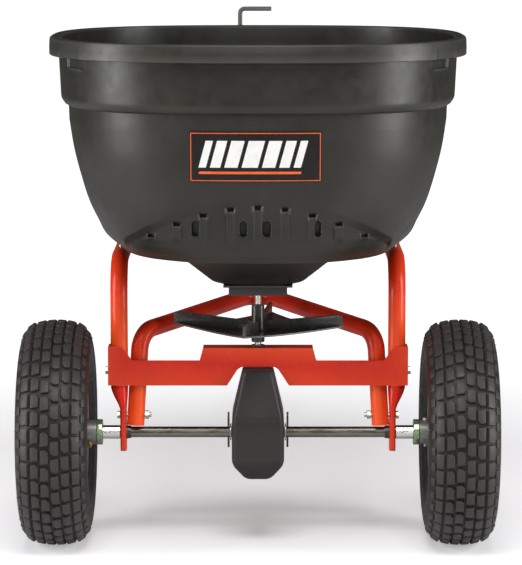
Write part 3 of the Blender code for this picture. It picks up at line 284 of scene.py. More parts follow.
def spline(points, steps):
    """A smooth curve through points, as a numpy array."""
    pts = np.array(points, float)
    ends = np.vstack([2 * pts[0] - pts[1], pts, 2 * pts[-1] - pts[-2]])
    out = []
    for k in range(len(pts) - 1):
        p0, p1, p2, p3 = ends[k : k + 4]
        for s in range(steps):
            t = s / steps
            out.append(
                0.5 * ((2 * p1) + (p2 - p0) * t + (2 * p0 - 5 * p1 + 4 * p2 - p3) * t * t
                       + (3 * p1 - p0 - 3 * p2 + p3) * t ** 3)
            )
    out.append(pts[-1])
    return np.array(out)


def lathe(profile, centre, axis, sides):
    """A closed profile of (radius, along) turned round an axis through a centre."""
    turn = np.linspace(0, math.tau, sides, endpoint=False)
    prof = np.array(profile, float)
    r, h = prof[:, 0], prof[:, 1]
    around = np.stack([np.cos(turn), np.sin(turn)], -1)
    along = np.broadcast_to(h[:, None], (len(h), sides))
    first, second = r[:, None] * around[:, 0], r[:, None] * around[:, 1]
    pts = np.stack([along, first, second] if axis == "X" else [first, second, along], -1)
    pts = pts + np.array(centre)
    mesh = grid_mesh(pts, close_v=True)
    form = bmesh.new()
    form.from_mesh(mesh)
    return to_mesh(form)


def filleted(points, radius, steps):
    """The path with an arc of this radius at each corner."""
    path = [Vector(p) for p in points]
    out = [path[0]]
    for k in range(1, len(path) - 1):
        before = (path[k - 1] - path[k]).normalized()
        after = (path[k + 1] - path[k]).normalized()
        half = before.angle(after) / 2
        if half > math.radians(88):
            out.append(path[k])
            continue
        reach = radius / math.tan(half)
        centre = path[k] + (before + after).normalized() * (radius / math.sin(half))
        first = (path[k] + before * reach - centre).normalized()
        last = (path[k] + after * reach - centre).normalized()
        for s in range(steps + 1):
            out.append(centre + first.slerp(last, s / steps) * radius)
    out.append(path[-1])
    return out


def tube_mesh(path, radius, detail=8):
    """A round tube along a path."""
    curve = bpy.data.curves.new("path", "CURVE")
    curve.dimensions = "3D"
    curve.bevel_depth = radius
    curve.bevel_resolution = detail
    curve.use_fill_caps = True
    line = curve.splines.new("POLY")
    line.points.add(len(path) - 1)
    for spot, place in zip(line.points, path):
        spot.co = (*place, 1.0)
    made = bpy.data.objects.new("path", curve)
    bpy.context.scene.collection.objects.link(made)
    bpy.context.view_layer.update()
    mesh = bpy.data.meshes.new_from_object(made.evaluated_get(bpy.context.evaluated_depsgraph_get()))
    bpy.data.objects.remove(made, do_unlink=True)
    form = bmesh.new()
    form.from_mesh(mesh)
    return to_mesh(form, 1e-5)


def merged(*meshes):
    """Meshes side by side in one mesh."""
    form = bmesh.new()
    for mesh in meshes:
        form.from_mesh(mesh)
    out = bpy.data.meshes.new("merged")
    form.to_mesh(out)
    form.free()
    return out


# ---------------------------------------------------------------- hopper
# Share of the hopper's height, share of its half width, and squareness of the section at each level
BOWL = (
    (0.0000, 0.193, 3.2),
    (0.0378, 0.342, 3.4),
    (0.0615, 0.480, 3.2),
    (0.1105, 0.607, 2.7),
    (0.1470, 0.651, 2.5),
    (0.2080, 0.736, 2.5),
    (0.2670, 0.774, 2.55),
    (0.3450, 0.817, 2.6),
    (0.4460, 0.854, 2.65),
    (0.5600, 0.887, 2.7),
    (0.6740, 0.908, 2.7),
    (0.7310, 0.911, 2.7),
    (0.7560, 0.945, 2.7),
    (0.9250, 0.955, 2.7),
)
STEP_IN = 0.005  # how far the arched rear panel is set in
ARCH_X = 0.186
ARCH_LOW = HOPPER_Z + 0.222 * HOPPER_H
ARCH_HIGH = HOPPER_Z + 0.412 * HOPPER_H
RIB_PITCH = 0.0376
SLOT_X = (-0.087, -0.020, 0.012, 0.083)
PANEL_X = 0.200
RIM_POWER = 2.7
SHELL = 0.004  # wall thickness
# Funnel under the flat floor: half width of the outlet, rise of its sides and ends, height of the floor
OUTLET = 0.0575
SIDE_RISE = 1.21
END_RISE = 0.421
FLOOR_UP = 0.0490
FLOOR_FROM = 0.10
FLOOR_RISE = 0.02
# Points round each ring: columns across the rear panel, then shares of the way round the rest
COLUMNS = 269
POCKET = (0.0390, 0.0760)
FRACTIONS = np.unique(np.concatenate([
    np.linspace(0, 1, 150),
    np.linspace(POCKET[0], POCKET[1], 14),
    np.linspace(1 - POCKET[1], 1 - POCKET[0], 14),
]))


def arch_height(x):
    """Top edge of the arched panel at a side station."""
    share = np.minimum(1.0, np.abs(x) / ARCH_X)
    return ARCH_LOW + (ARCH_HIGH - ARCH_LOW) * np.cos(share * math.pi / 2) ** 0.85


def clamp(value):
    return np.clip(value, 0.0, 1.0)


def panel_depth(x, z):
    """How far the rear panel and its ribs, notches and slots are set in, and where the notches and slots are
    painted near-black as their shade.
    """
    under = arch_height(x) - z
    step = clamp(under / 0.010) * clamp((z - (ARCH_LOW - 0.020)) / 0.016)
    step = step * (np.abs(x) < ARCH_X)
    depth = STEP_IN * step
    # the notches and slots are marked to be painted near-black, as painted shade inside them
    painted_shade = np.zeros_like(depth)
    for k in range(-4, 5):
        xk = k * RIB_PITCH
        top = float(arch_height(np.array(xk))) - 0.0165
        rib = clamp((0.0068 - np.abs(x - xk)) / 0.0012) * clamp((top - z) / 0.0015)
        rib = rib * clamp((z - ARCH_LOW) / 0.010)
        depth = depth - 0.0030 * rib * step
        notch = (np.abs(x - xk) < 0.0040) & (z > top - 0.0005) & (z < top + 0.0042)
        depth = depth + 0.0035 * notch
        painted_shade = np.maximum(painted_shade, notch * 1.0)
        frame_lip = (np.abs(np.abs(x - xk) - 0.0062) < 0.0014) & (z > top - 0.0055) & (z < top + 0.0035)
        depth = depth - 0.0012 * frame_lip * step
    for xs in SLOT_X:
        dz = np.maximum(np.maximum(z - (ARCH_LOW + 0.0285), (ARCH_LOW + 0.0155) - z), 0)
        r = np.sqrt((x - xs) ** 2 + dz ** 2)
        hole = r < 0.0046
        depth = depth + 0.0040 * hole
        painted_shade = np.maximum(painted_shade, hole * 1.0)
        lip = (r > 0.0046) & (r < 0.0064) & (z < ARCH_LOW + 0.017)
        depth = depth - 0.0016 * lip
    return depth, painted_shade


def underside(x, y):
    """Height of the hopper's underside: a flat floor with a four-sided funnel down to the outlet."""
    side = SIDE_RISE * (np.abs(x) - OUTLET)
    ends = END_RISE * (np.abs(y) - OUTLET)
    funnel = HOPPER_Z + np.maximum(0, np.maximum(side, ends))
    level = HOPPER_Z + FLOOR_UP + FLOOR_RISE * np.maximum(0, np.abs(x) - FLOOR_FROM)
    return np.minimum(funnel, level)


def bowl_at(z):
    """Half width and squareness of the bowl at a height."""
    share = np.array([b[0] for b in BOWL]) * HOPPER_H + HOPPER_Z
    a = np.interp(z, share, [b[1] * HALF_W for b in BOWL])
    p = np.interp(z, share, [b[2] for b in BOWL])
    return a, p


def bowl_profile():
    """(z, half width, power) of the outer bowl, smooth, with a crisp shoulder."""
    z = [HOPPER_Z + b[0] * HOPPER_H for b in BOWL]
    w = [b[1] * HALF_W for b in BOWL]
    p = [b[2] for b in BOWL]
    low = spline(list(zip(z[3:11], w[3:11], p[3:11])), 12)
    out = [(z[0], w[0], p[0]), *np.linspace((z[0], w[0], p[0]), (z[1], w[1], p[1]), 7)[1:].tolist()]
    out += np.linspace((z[1], w[1], p[1]), (z[2], w[2], p[2]), 5)[1:].tolist()
    out += spline([(z[2], w[2], p[2]), (z[3], w[3], p[3])], 8)[1:-1].tolist()
    out += low.tolist()
    shoulder = [
        (z[11] - 0.004, w[11] - 0.0004, RIM_POWER),
        (z[11], w[11], RIM_POWER),
        (z[11] + 0.0008, w[11] + 0.0014, RIM_POWER),
        (z[11] + 0.0030, w[11] + 0.0052, RIM_POWER),
        (z[12] - 0.0015, w[12] - 0.0018, RIM_POWER),
        (z[12] + 0.0015, w[12] - 0.0003, RIM_POWER),
        (z[12] + 0.0050, w[12] + 0.0003, RIM_POWER),
    ]
    return out + shoulder


def ring_line(a, b, power):
    """Points round the superellipse: the rear panel on fixed columns, then the rest by arc length."""
    reach = min(PANEL_X, 0.90 * a)
    xs = np.linspace(-reach, reach, COLUMNS)
    ys = -b * np.maximum(0, 1 - (np.abs(xs) / a) ** power) ** (1 / power)
    start = math.atan2((max(0.0, -ys[-1]) / b) ** (power / 2), (reach / a) ** (power / 2))
    t = np.linspace(-start, math.pi + start, 1600)
    c, s = np.cos(t), np.sin(t)
    px = a * np.sign(c) * np.abs(c) ** (2 / power)
    py = b * np.sign(s) * np.abs(s) ** (2 / power)
    run = np.concatenate([[0], np.cumsum(np.hypot(np.diff(px), np.diff(py)))])
    at = FRACTIONS * run[-1]
    rx = np.interp(at, run, px)[1:-1]
    ry = np.interp(at, run, py)[1:-1]
    return np.concatenate([xs, rx]), np.concatenate([ys, ry])


def shell_grid(rows, inside):
    """Points of the shell's skin, and which of them lie in a recess painted near-black as its shade."""
    pts = []
    painted_shade = []
    for z, a, p in rows:
        x, y = ring_line(a, a * DEPTH_SHARE, p)
        rear = np.arange(len(x)) < COLUMNS
        zz = np.maximum(np.full_like(x, z), underside(x, y) + SHELL * inside)
        if inside:
            under = clamp((arch_height(x) + SHELL - z) / 0.012) * (z > ARCH_LOW - 0.03)
            under = under * (np.abs(x) < ARCH_X + SHELL)
            push = 0.0085 * under * rear
            painted_shade_mark = np.zeros_like(x)
        else:
            push, painted_shade_mark = panel_depth(x, zz)
            push = push * rear
            painted_shade_mark = painted_shade_mark * rear
            seam = (np.abs(x - 0.002) < 0.0009) & (z > RIM_Z - 0.045) & (z < RIM_Z - 0.026)
            push = push - 0.0005 * seam * rear
            level = (z > RIM_Z - 0.0385) & (z < RIM_Z - 0.0215)
            if level:
                run = np.concatenate([np.full(COLUMNS, -1.0), FRACTIONS[1:-1]])
                # the side pockets are set in and marked to be painted near-black, as painted shade inside
                # them
                for lo, hi in (POCKET, (1 - POCKET[1], 1 - POCKET[0])):
                    hit = (run > lo) & (run < hi)
                    push = push + 0.0030 * hit
                    painted_shade_mark = np.maximum(painted_shade_mark, hit * 1.0)
        # inward direction of the section
        nx = np.sign(x) * (np.abs(x) / a) ** (p - 1) / a
        ny = np.sign(y) * (np.abs(y) / (a * DEPTH_SHARE)) ** (p - 1) / (a * DEPTH_SHARE)
        n = np.hypot(nx, ny)
        pts.append(np.stack([x - push * nx / n, HY + y - push * ny / n, zz], -1))
        painted_shade.append(painted_shade_mark)
    return np.array(pts), np.array(painted_shade)


def build_hopper():
    """The moulded hopper: outer skin, rolled rim and inner skin in one closed shell."""
    prof = np.array(bowl_profile())
    fine = np.arange(ARCH_LOW - 0.024, ARCH_HIGH + 0.004, 0.0015)
    wall = np.arange(prof[-1, 0] + 0.004, RIM_Z - 0.027, 0.0045)
    pocket = [RIM_Z - 0.0387, RIM_Z - 0.0383, RIM_Z - 0.0300, RIM_Z - 0.0217, RIM_Z - 0.0213]
    coarse = [r for r in prof[:, 0] if r < fine[0] - 0.001 or r > fine[-1] + 0.001]
    levels = np.unique(np.round(np.concatenate([coarse, fine, wall, pocket]), 5))
    top_z, top_a = HOPPER_Z + BOWL[-1][0] * HOPPER_H, BOWL[-1][1] * HALF_W
    pz = np.append(prof[:, 0], top_z)
    pa = np.append(prof[:, 1], top_a)
    pp = np.append(prof[:, 2], RIM_POWER)
    order = np.argsort(pz)
    pz, pa, pp = pz[order], pa[order], pp[order]
    rows = [(z, float(np.interp(z, pz, pa)), float(np.interp(z, pz, pp))) for z in levels]
    lip_in = 0.955 * HALF_W
    skirt = HALF_W - 0.004
    rim_rows = [
        (RIM_Z - 0.0060, lip_in),
        (RIM_Z - 0.0050, lip_in + 0.001),
        (RIM_Z - 0.0050, skirt - 0.001),
        (RIM_Z - 0.0060, skirt),
        (RIM_Z - 0.0240, skirt),
        (RIM_Z - 0.0245, skirt + 0.0006),
        (RIM_Z - 0.0245, HALF_W - 0.0008),
        (RIM_Z - 0.0238, HALF_W),
        (RIM_Z - 0.0130, HALF_W + 0.0001),
        (RIM_Z - 0.0030, HALF_W - 0.0004),
        (RIM_Z - 0.0009, HALF_W - 0.0012),
        (RIM_Z, HALF_W - 0.0032),
        (RIM_Z, HALF_W - 0.0085),
        (RIM_Z - 0.0007, HALF_W - 0.0105),
        (RIM_Z - 0.0007, lip_in + 0.0005),
        (RIM_Z - 0.0003, lip_in - 0.0022),
        (RIM_Z - 0.0012, lip_in - 0.0036),
        (RIM_Z - 0.0040, lip_in - 0.0040),
    ]
    rows += [(z, a, RIM_POWER) for z, a in rim_rows]
    outer, painted_shade = shell_grid(rows, False)
    inner_rows = []
    for z, a, p in reversed([r for r in rows[: len(levels)] if r[0] > HOPPER_Z + 0.006][::2]):
        share = (z - HOPPER_Z) / HOPPER_H
        slope = 1.0 if share < 0.13 else 0.45 if share < 0.24 else 0.0
        inner_rows.append((z + SHELL * slope, a - SHELL, p))
    inner_rows.append((HOPPER_Z + 0.0045, BOWL[0][1] * HALF_W - 0.002, BOWL[0][2]))
    # rows that the wall's slope puts out of order near the floor are dropped
    ordered = [inner_rows[0]]
    for row in inner_rows[1:]:
        if row[0] < ordered[-1][0] - 0.0004:
            ordered.append(row)
    inner, _ = shell_grid(ordered, True)
    pts = np.concatenate([outer, inner])
    mesh = grid_mesh(pts)
    rows_n, cols = pts.shape[:2]
    form = bmesh.new()
    form.from_mesh(mesh)
    form.verts.ensure_lookup_table()
    # the outer bottom face and the inner floor
    form.faces.new([form.verts[k] for k in range(cols)])
    form.faces.new([form.verts[(rows_n - 1) * cols + k] for k in reversed(range(cols))])
    # faces in the marked notches, slots and pockets take the second, near-black material: painted shade of
    # these recesses
    painted_shade_marks = np.concatenate([painted_shade, np.zeros(inner.shape[:2])])
    painted_shade_faces = (painted_shade_marks[:-1] > 0.5) & (painted_shade_marks[1:] > 0.5)
    flat = (painted_shade_faces & np.roll(painted_shade_faces, -1, 1)).reshape(-1)
    form.faces.ensure_lookup_table()
    for k in np.nonzero(flat)[0]:
        form.faces[k].material_index = 1
    bmesh.ops.recalc_face_normals(form, faces=form.faces)
    out = bpy.data.meshes.new("hopper")
    form.to_mesh(out)
    form.free()
    piece("hopper_shell", out, [POLY, POLY_PAINTED_SHADE], "frame", ["hopper"], 28)


build_hopper()


# ---------------------------------------------------------------- label
def rear_y(x, z):
    """Where the rear of the bowl is."""
    a, p = bowl_at(z)
    inside = np.maximum(0, 1 - (np.abs(x) / a) ** p)
    return HY - a * DEPTH_SHARE * inside ** (1 / p)


LABEL_X0, LABEL_X1 = -0.0925, 0.0865
LABEL_Z0, LABEL_Z1 = HOPPER_Z + 0.475 * HOPPER_H, HOPPER_Z + 0.668 * HOPPER_H
SLICE_X, SLICE_Z = 0.006, 0.010
EDGE = 0.0011
INSET = 0.0012
INK_LIFT, INK_THICK = 0.0018, 0.0002


def sliced(form, place, normal):
    bmesh.ops.bisect_plane(
        form, geom=form.verts[:] + form.edges[:] + form.faces[:], plane_co=place, plane_no=normal
    )


def printed(name, outline, skin, lift, thick, replaces=()):
    """A thin shape laid on the curved rear of the hopper."""
    form = bmesh.new()
    form.faces.new([form.verts.new((x, 0.0, z)) for x, z in outline])
    xs = [p[0] for p in outline]
    zs = [p[1] for p in outline]
    for x in np.arange(math.floor(min(xs) / SLICE_X) * SLICE_X, max(xs), SLICE_X)[1:]:
        sliced(form, (x, 0, 0), (1, 0, 0))
    for z in np.arange(min(zs), max(zs), SLICE_Z)[1:]:
        sliced(form, (0, 0, z), (0, 0, 1))
    grown = bmesh.ops.extrude_face_region(form, geom=form.faces[:])
    for vert in [g for g in grown["geom"] if isinstance(g, bmesh.types.BMVert)]:
        vert.co.y = -thick
    for vert in form.verts:
        deep = vert.co.y
        vert.co.y = float(rear_y(vert.co.x, vert.co.z)) - lift + deep
    return piece(name, to_mesh(form), skin, "frame", replaces)


def rounded_box(x0, x1, z0, z1, r, steps=5):
    out = []
    corners = ((x1 - r, z1 - r, 0), (x0 + r, z1 - r, 90), (x0 + r, z0 + r, 180), (x1 - r, z0 + r, 270))
    for cx, cz, turn in corners:
        for s in range(steps + 1):
            t = math.radians(turn + 90 * s / steps)
            out.append((cx + r * math.cos(t), cz + r * math.sin(t)))
    return out


printed("label_plate", rounded_box(LABEL_X0, LABEL_X1, LABEL_Z0, LABEL_Z1, 0.0015), LABEL, 0.0009, 0.0008,
        ["label_panel"])
edge_x0, edge_x1 = LABEL_X0 + INSET, LABEL_X1 - INSET
edge_z0, edge_z1 = LABEL_Z0 + INSET, LABEL_Z1 - INSET
for tag, (x0, x1, z0, z1) in (
    ("top", (edge_x0, edge_x1, edge_z1 - EDGE, edge_z1)),
    ("low", (edge_x0, edge_x1, edge_z0, edge_z0 + EDGE)),
    ("left", (edge_x0, edge_x0 + EDGE, edge_z0 + EDGE, edge_z1 - EDGE)),
    ("right", (edge_x1 - EDGE, edge_x1, edge_z0 + EDGE, edge_z1 - EDGE)),
):
    outline = [(x0, z0), (x1, z0), (x1, z1), (x0, z1)]
    printed("label_edge_" + tag, outline, INK_ORANGE, INK_LIFT, INK_THICK)
# an abstract graphic: slanted pale bars of changing width above one orange line
BARS = (0.010, 0.014, 0.018, 0.022, 0.018, 0.014, 0.010)
BAR_GAP = 0.0055
low_z, high_z, lean = LABEL_Z0 + 0.020, LABEL_Z1 - 0.012, 0.010
x = LABEL_X0 + 0.012
for k, width in enumerate(BARS):
    bar = [(x, low_z), (x + width, low_z), (x + width + lean, high_z), (x + lean, high_z)]
    printed(f"label_bar_{k}", bar, INK_WHITE, INK_LIFT, INK_THICK)
    x += width + BAR_GAP
line = [(LABEL_X0 + 0.012, LABEL_Z0 + 0.011), (x - BAR_GAP, LABEL_Z0 + 0.011),
        (x - 0.0045, LABEL_Z0 + 0.0145), (LABEL_X0 + 0.013, LABEL_Z0 + 0.0145)]
printed("label_line", line, INK_ORANGE, INK_LIFT, INK_THICK)

# ---------------------------------------------------------------- tyres
PITCHES = 40
HAIRS = 64
BEAD = 0.462 * WHEEL_R
GROOVE = 0.0048  # depth of the tread
ROOT = -0.003  # how far each block is sunk in the carcass
LUG_X, LUG_DROP, LUG_TILT = 0.0442, 0.0200, math.radians(48)
HAIR_TILT = math.radians(55)
# (offset from the wheel's middle, radius) of the rows of vent hairs
HAIR_ROWS = ((0.050, 0.1375), (0.0465, 0.1470), (0.0505, 0.1245))
# Share of the half width, and how far the tread has dropped there
CROWN = (
    (0.0, 0.0),
    (0.33, -0.0012),
    (0.62, -0.0050),
    (0.83, -0.0125),
)


def crown_drop(u):
    """How far the tread surface drops at a share of the half width."""
    us = [c[0] for c in CROWN]
    ds = [c[1] for c in CROWN]
    return float(np.interp(abs(u), us, ds))


def softened(form, soft):
    """Bevels the top and the standing edges of a block."""
    high = {v for v in form.verts if v.co.z > 0}
    upper = [e for e in form.edges if all(v in high for v in e.verts)]
    side = [e for e in form.edges if (e.verts[0] in high) != (e.verts[1] in high)]
    bmesh.ops.bevel(form, geom=upper + side, offset=soft, segments=2, profile=0.6, affect="EDGES")
    return form


def block(width, length, height, taper=0.0012, soft=0.0011):
    """A straight tread block on the XY plane."""
    form = bmesh.new()
    bmesh.ops.create_cube(form, size=1.0)
    for vert in form.verts:
        top = vert.co.z > 0
        vert.co.x *= width - (taper if top else 0)
        vert.co.y *= length - (taper if top else 0)
        vert.co.z = height if top else ROOT
    return softened(form, soft)


def arrow_block(width, length, height, point, soft):
    """A block with one pointed end, as on the tread's inner rows."""
    form = bmesh.new()
    w, h = width / 2, length / 2
    outline = [(-w, -h), (w, -h + point * 0.4), (w, h - point), (w * 0.2, h), (-w, h - point * 0.3)]
    base = [form.verts.new((x, y, ROOT)) for x, y in outline]
    top = [form.verts.new((x * 0.92, y * 0.94, height)) for x, y in outline]
    form.faces.new(list(reversed(base)))
    form.faces.new(top)
    n = len(outline)
    for k in range(n):
        form.faces.new([base[k], base[(k + 1) % n], top[(k + 1) % n], top[k]])
    return softened(form, soft)


def build_tyre():
    """One tyre about the origin, its axis along X."""
    w = TYRE_W / 2
    outside = [
        (BEAD + 0.002, 0.600),
        (BEAD + 0.006, 0.690),
        (BEAD + 0.018, 0.830),
        (BEAD + 0.043, 0.985),
        (BEAD + 0.055, 0.985),
        (BEAD + 0.0645, 0.935),
        (WHEEL_R - 0.0175, 0.830),
        (WHEEL_R - 0.0050 - GROOVE, 0.620),
        (WHEEL_R - 0.0012 - GROOVE, 0.330),
        (WHEEL_R - GROOVE, 0.0),
    ]
    half = spline([(r, u * w) for r, u in outside], 8)
    # fine circumferential lines on the sidewall
    lines = []
    for r, u in half:
        grow = 0.0
        for at in (BEAD + 0.012, BEAD + 0.030, BEAD + 0.0345):
            grow += 0.0007 * math.exp(-(((r - at) / 0.0012) ** 2))
        lines.append((r, u + grow))
    loop = [(r, u) for r, u in lines] + [(r, -u) for r, u in reversed(lines[:-1])]
    wall = 0.0065
    inside = [(BEAD + 0.004, 0.600 * w - wall), (BEAD + 0.043, w - wall * 1.3), (WHEEL_R - 0.021, 0.7 * w),
              (WHEEL_R - 0.016, 0.0)]
    inner = spline(inside, 6)
    loop += [(r, -u) for r, u in inner] + [(r, u) for r, u in reversed(inner[:-1])]
    carcass = lathe(loop, (0, 0, 0), "X", 172)
    form = bmesh.new()
    form.from_mesh(carcass)
    # lateral place, stagger round the wheel and kind of block for each column of the tread
    columns = (
        (-0.0345, 0.00, "edge"),
        (-0.0208, 0.06, "barb"),
        (-0.0070, 0.22, "key"),
        (0.0070, 0.72, "key_back"),
        (0.0208, 0.56, "barb_back"),
        (0.0345, 0.50, "edge"),
    )
    parts = {
        "edge": block(0.0120, 0.0215, GROOVE, 0.0010, 0.0012),
        "barb": arrow_block(0.0122, 0.0222, GROOVE, 0.0050, 0.0012),
        "key": arrow_block(0.0122, 0.0215, GROOVE, 0.0034, 0.0012),
        "lug": block(0.0085, 0.0130, 0.0030),
    }
    meshes = {}
    for key, part in parts.items():
        mesh = bpy.data.meshes.new("block")
        bmesh.ops.recalc_face_normals(part, faces=part.faces)
        part.to_mesh(mesh)
        part.free()
        meshes[key] = mesh
    for key in ("barb", "key"):
        meshes[key + "_back"] = meshes[key].copy()
        meshes[key + "_back"].transform(Matrix.Rotation(math.pi, 4, "Z"))

    def stamp(mesh, phase, place, tilt):
        """Adds a copy of the mesh, tilted at a place on the top of the tyre and turned round the axle."""
        copy = mesh.copy()
        turn = Matrix.Rotation(phase, 4, "X")
        copy.transform(turn @ (Matrix.Translation(place) @ Matrix.Rotation(tilt, 4, "Y")))
        form.from_mesh(copy)
        bpy.data.meshes.remove(copy)

    for k in range(PITCHES):
        for x, stagger, kind in columns:
            u = x / w
            slope = (crown_drop(u + 0.05) - crown_drop(u - 0.05)) / (0.1 * w)
            place = (x, 0, WHEEL_R - GROOVE + crown_drop(u))
            stamp(meshes[kind], math.tau * (k + stagger) / PITCHES, place, -math.atan(slope))
        for side in (-1, 1):
            phase = math.tau * (k + (0.5 if side < 0 else 0.0)) / PITCHES
            stamp(meshes["lug"], phase, (side * LUG_X, 0, WHEEL_R - LUG_DROP), side * LUG_TILT)
    # vent hairs left by the mould
    hair = bmesh.new()
    bmesh.ops.create_cone(hair, cap_ends=True, segments=5, radius1=0.00045, radius2=0.00025, depth=0.0034)
    hair_mesh = bpy.data.meshes.new("hair")
    hair.to_mesh(hair_mesh)
    hair.free()
    for k in range(HAIRS):
        side = 1 if k % 2 else -1
        phase = math.tau * (k + random.uniform(-0.3, 0.3)) / HAIRS
        offset, radius = random.choice(HAIR_ROWS)
        stamp(hair_mesh, phase, (side * offset, 0, radius), side * HAIR_TILT)
    out = bpy.data.meshes.new("tyre")
    form.to_mesh(out)
    form.free()
    return out


def fit_width(mesh, limit):
    """Keeps the hairs and lugs inside the tyre's width."""
    for vert in mesh.vertices:
        vert.co.x = max(-limit, min(limit, vert.co.x))


tyre_base = build_tyre()
fit_width(tyre_base, TYRE_W / 2 + 0.0015)
for side, tag, body in ((-1, "left", "idle_wheel"), (1, "right", "drive_axle")):
    mesh = tyre_base.copy()
    if side > 0:
        mesh.transform(Matrix.Rotation(math.pi, 4, "Z"))
    mesh.transform(Matrix.Translation((side * WHEEL_X, AY, AXLE_Z)))
    piece("tyre_tread_" + tag, mesh, RUBBER, body, ["tyre_" + tag], 30)


# ---------------------------------------------------------------- rims
def build_rim(side):
    """A pressed rim: a barrel with rolled flanges round a dished disc."""
    drum = BEAD + 0.0035
    w = TYRE_W / 2
    seat = 0.6 * w + 0.0002
    edge = 0.7 * w
    thick = 0.0026
    outer = [
        (drum - 0.004, 0.0), (drum - 0.004, seat * 0.5), (drum - 0.0005, seat * 0.75),
        (drum - 0.0005, seat), (drum + 0.0055, edge), (drum + 0.0085, edge + 0.0018),
        (drum + 0.0088, edge + 0.0036), (drum + 0.0070, edge + 0.0046),
    ]
    inner = [
        (drum + 0.0040, edge + 0.0030), (drum - thick, seat + 0.0012),
        (drum - thick - 0.0005, seat * 0.75), (drum - 0.004 - thick, seat * 0.5),
        (drum - 0.004 - thick, 0.0022),
    ]
    barrel = [*spline(outer, 5).tolist(), *spline(inner, 5).tolist()]
    disc = [(0.0560, 0.0022), (0.0480, 0.0052), (0.0340, 0.0060), (0.0260, 0.0040), (0.0182, 0.0030)]
    half = barrel + spline(disc, 5).tolist()
    other = [(r, -u) for r, u in half]
    back = [(r, u - 0.0038) for r, u in spline(disc[::-1], 5).tolist()]
    loop = half + back[:-1]
    loop += [(r, u) for r, u in reversed([o for o in other if o[0] > 0.0565])]
    return lathe([(r, side * u) for r, u in loop], (side * WHEEL_X, AY, AXLE_Z), "X", 128)


hub_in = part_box("hub_washer_right")[1].x + GAP
hub_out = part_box("end_washer_right")[0].x - GAP
bore = AXLE_R + 0.0004
hub_profile = [
    (bore, hub_in), (0.0174, hub_in), (0.0180, hub_in + 0.0006), (0.0180, WHEEL_X - 0.006),
    (0.0190, WHEEL_X - 0.0045), (0.0205, WHEEL_X - 0.0032), (0.0205, WHEEL_X + 0.0060),
    (0.0190, WHEEL_X + 0.0080), (0.0180, WHEEL_X + 0.0095), (0.0180, hub_out - 0.0006),
    (0.0174, hub_out), (bore, hub_out),
]
for side, tag, body in ((-1, "left", "idle_wheel"), (1, "right", "drive_axle")):
    piece("rim_" + tag, build_rim(side), RIM, body, ["wheel_rim_" + tag], 40)
    hub = lathe([(r, side * u) for r, u in hub_profile], (0, AY, AXLE_Z), "X", 96)
    piece("hub_" + tag, hub, HUB, body, (), 30)


# ---------------------------------------------------------------- impeller
IMPELLER_R = 0.126
DISH_LOW = AXLE_Z + 0.1470
TIP_LOW = AXLE_Z + 0.1580
VANE_IN, VANE_RISE = AXLE_Z + 0.1650, 0.1778 - 0.1650
VANE_FROM, VANE_TO = 0.0085, IMPELLER_R - 0.0015
FAN_TURN = math.radians(-9.0)


def build_impeller():
    """A dished four-cornered plate with four upright vanes and a hub."""
    rings, sides, thick = 18, 96, 0.0024
    pts = np.zeros((rings * 2, sides, 3))
    for i in range(rings):
        share = 0.075 + 0.925 * (i / (rings - 1))
        for k in range(sides):
            t = math.tau * k / sides
            quarter = (t + math.pi / 4) % (math.pi / 2) - math.pi / 4
            around = math.cos(quarter) + abs(math.sin(quarter))
            hollow = 0.09 * math.sin(math.pi * abs(math.sin(quarter)) / around)
            reach = IMPELLER_R * ((1 / around) * (1 - hollow)) * share
            z = DISH_LOW + (TIP_LOW - DISH_LOW) * (reach / IMPELLER_R)
            for row, lift in ((i, 0.0), (2 * rings - 1 - i, thick)):
                pts[row, k] = (reach * math.cos(t) * 0.995, reach * math.sin(t) * 0.995, z + lift)
    dish = grid_mesh(pts, close_v=True)
    form = bmesh.new()
    form.from_mesh(dish)
    mesh = to_mesh(form)
    vanes = bmesh.new()
    for k in range(4):
        turn = Matrix.Rotation(k * math.pi / 2, 4, "Z")
        steps = 14
        top, low = [], []
        for s in range(steps + 1):
            t = s / steps
            u = VANE_FROM + (VANE_TO - VANE_FROM) * t
            base = DISH_LOW + (TIP_LOW - DISH_LOW) * (u / IMPELLER_R)
            high = VANE_IN + VANE_RISE * t ** 1.1
            if t > 0.94:
                high -= 0.0030 * ((t - 0.94) / 0.06) ** 2
            top.append((u, high))
            low.append((u, base + 0.0006))
        outline = low + list(reversed(top))
        faces = []
        for y in (-0.0021, 0.0021):
            faces.append([vanes.verts.new(turn @ Vector((u, y, z))) for u, z in outline])
        vanes.faces.new(faces[0])
        vanes.faces.new(list(reversed(faces[1])))
        n = len(outline)
        for j in range(n):
            vanes.faces.new([faces[0][j], faces[0][(j + 1) % n], faces[1][(j + 1) % n], faces[1][j]])
    vane_mesh = baked(to_mesh(vanes), bevel(0.0009, 2, 40))
    hub = [
        (0.0052, AXLE_Z + 0.1340), (0.0088, AXLE_Z + 0.1340), (0.0096, AXLE_Z + 0.1348),
        (0.0098, DISH_LOW - 0.003), (0.0125, DISH_LOW + 0.0005), (0.0125, DISH_LOW + 0.0028),
        (0.0100, DISH_LOW + 0.0060), (0.0094, AXLE_Z + 0.1885), (0.0086, AXLE_Z + 0.1895),
        (0.0052, AXLE_Z + 0.1895),
    ]
    hub_mesh = lathe(hub, (0, 0, 0), "Z", 64)
    whole = merged(mesh, vane_mesh, hub_mesh)
    whole.transform(Matrix.Translation((0, AY, 0)) @ Matrix.Rotation(FAN_TURN, 4, "Z"))
    return whole


piece("impeller_fan", build_impeller(), FAN, "impeller_unit", ["impeller"], 35)

# ---------------------------------------------------------------- gearbox
G_LOW = AXLE_Z - 0.0646
G_SIDE = AXLE_Z + 0.0250
G_TOP = AXLE_Z + 0.0970
NECK_H = 0.0226


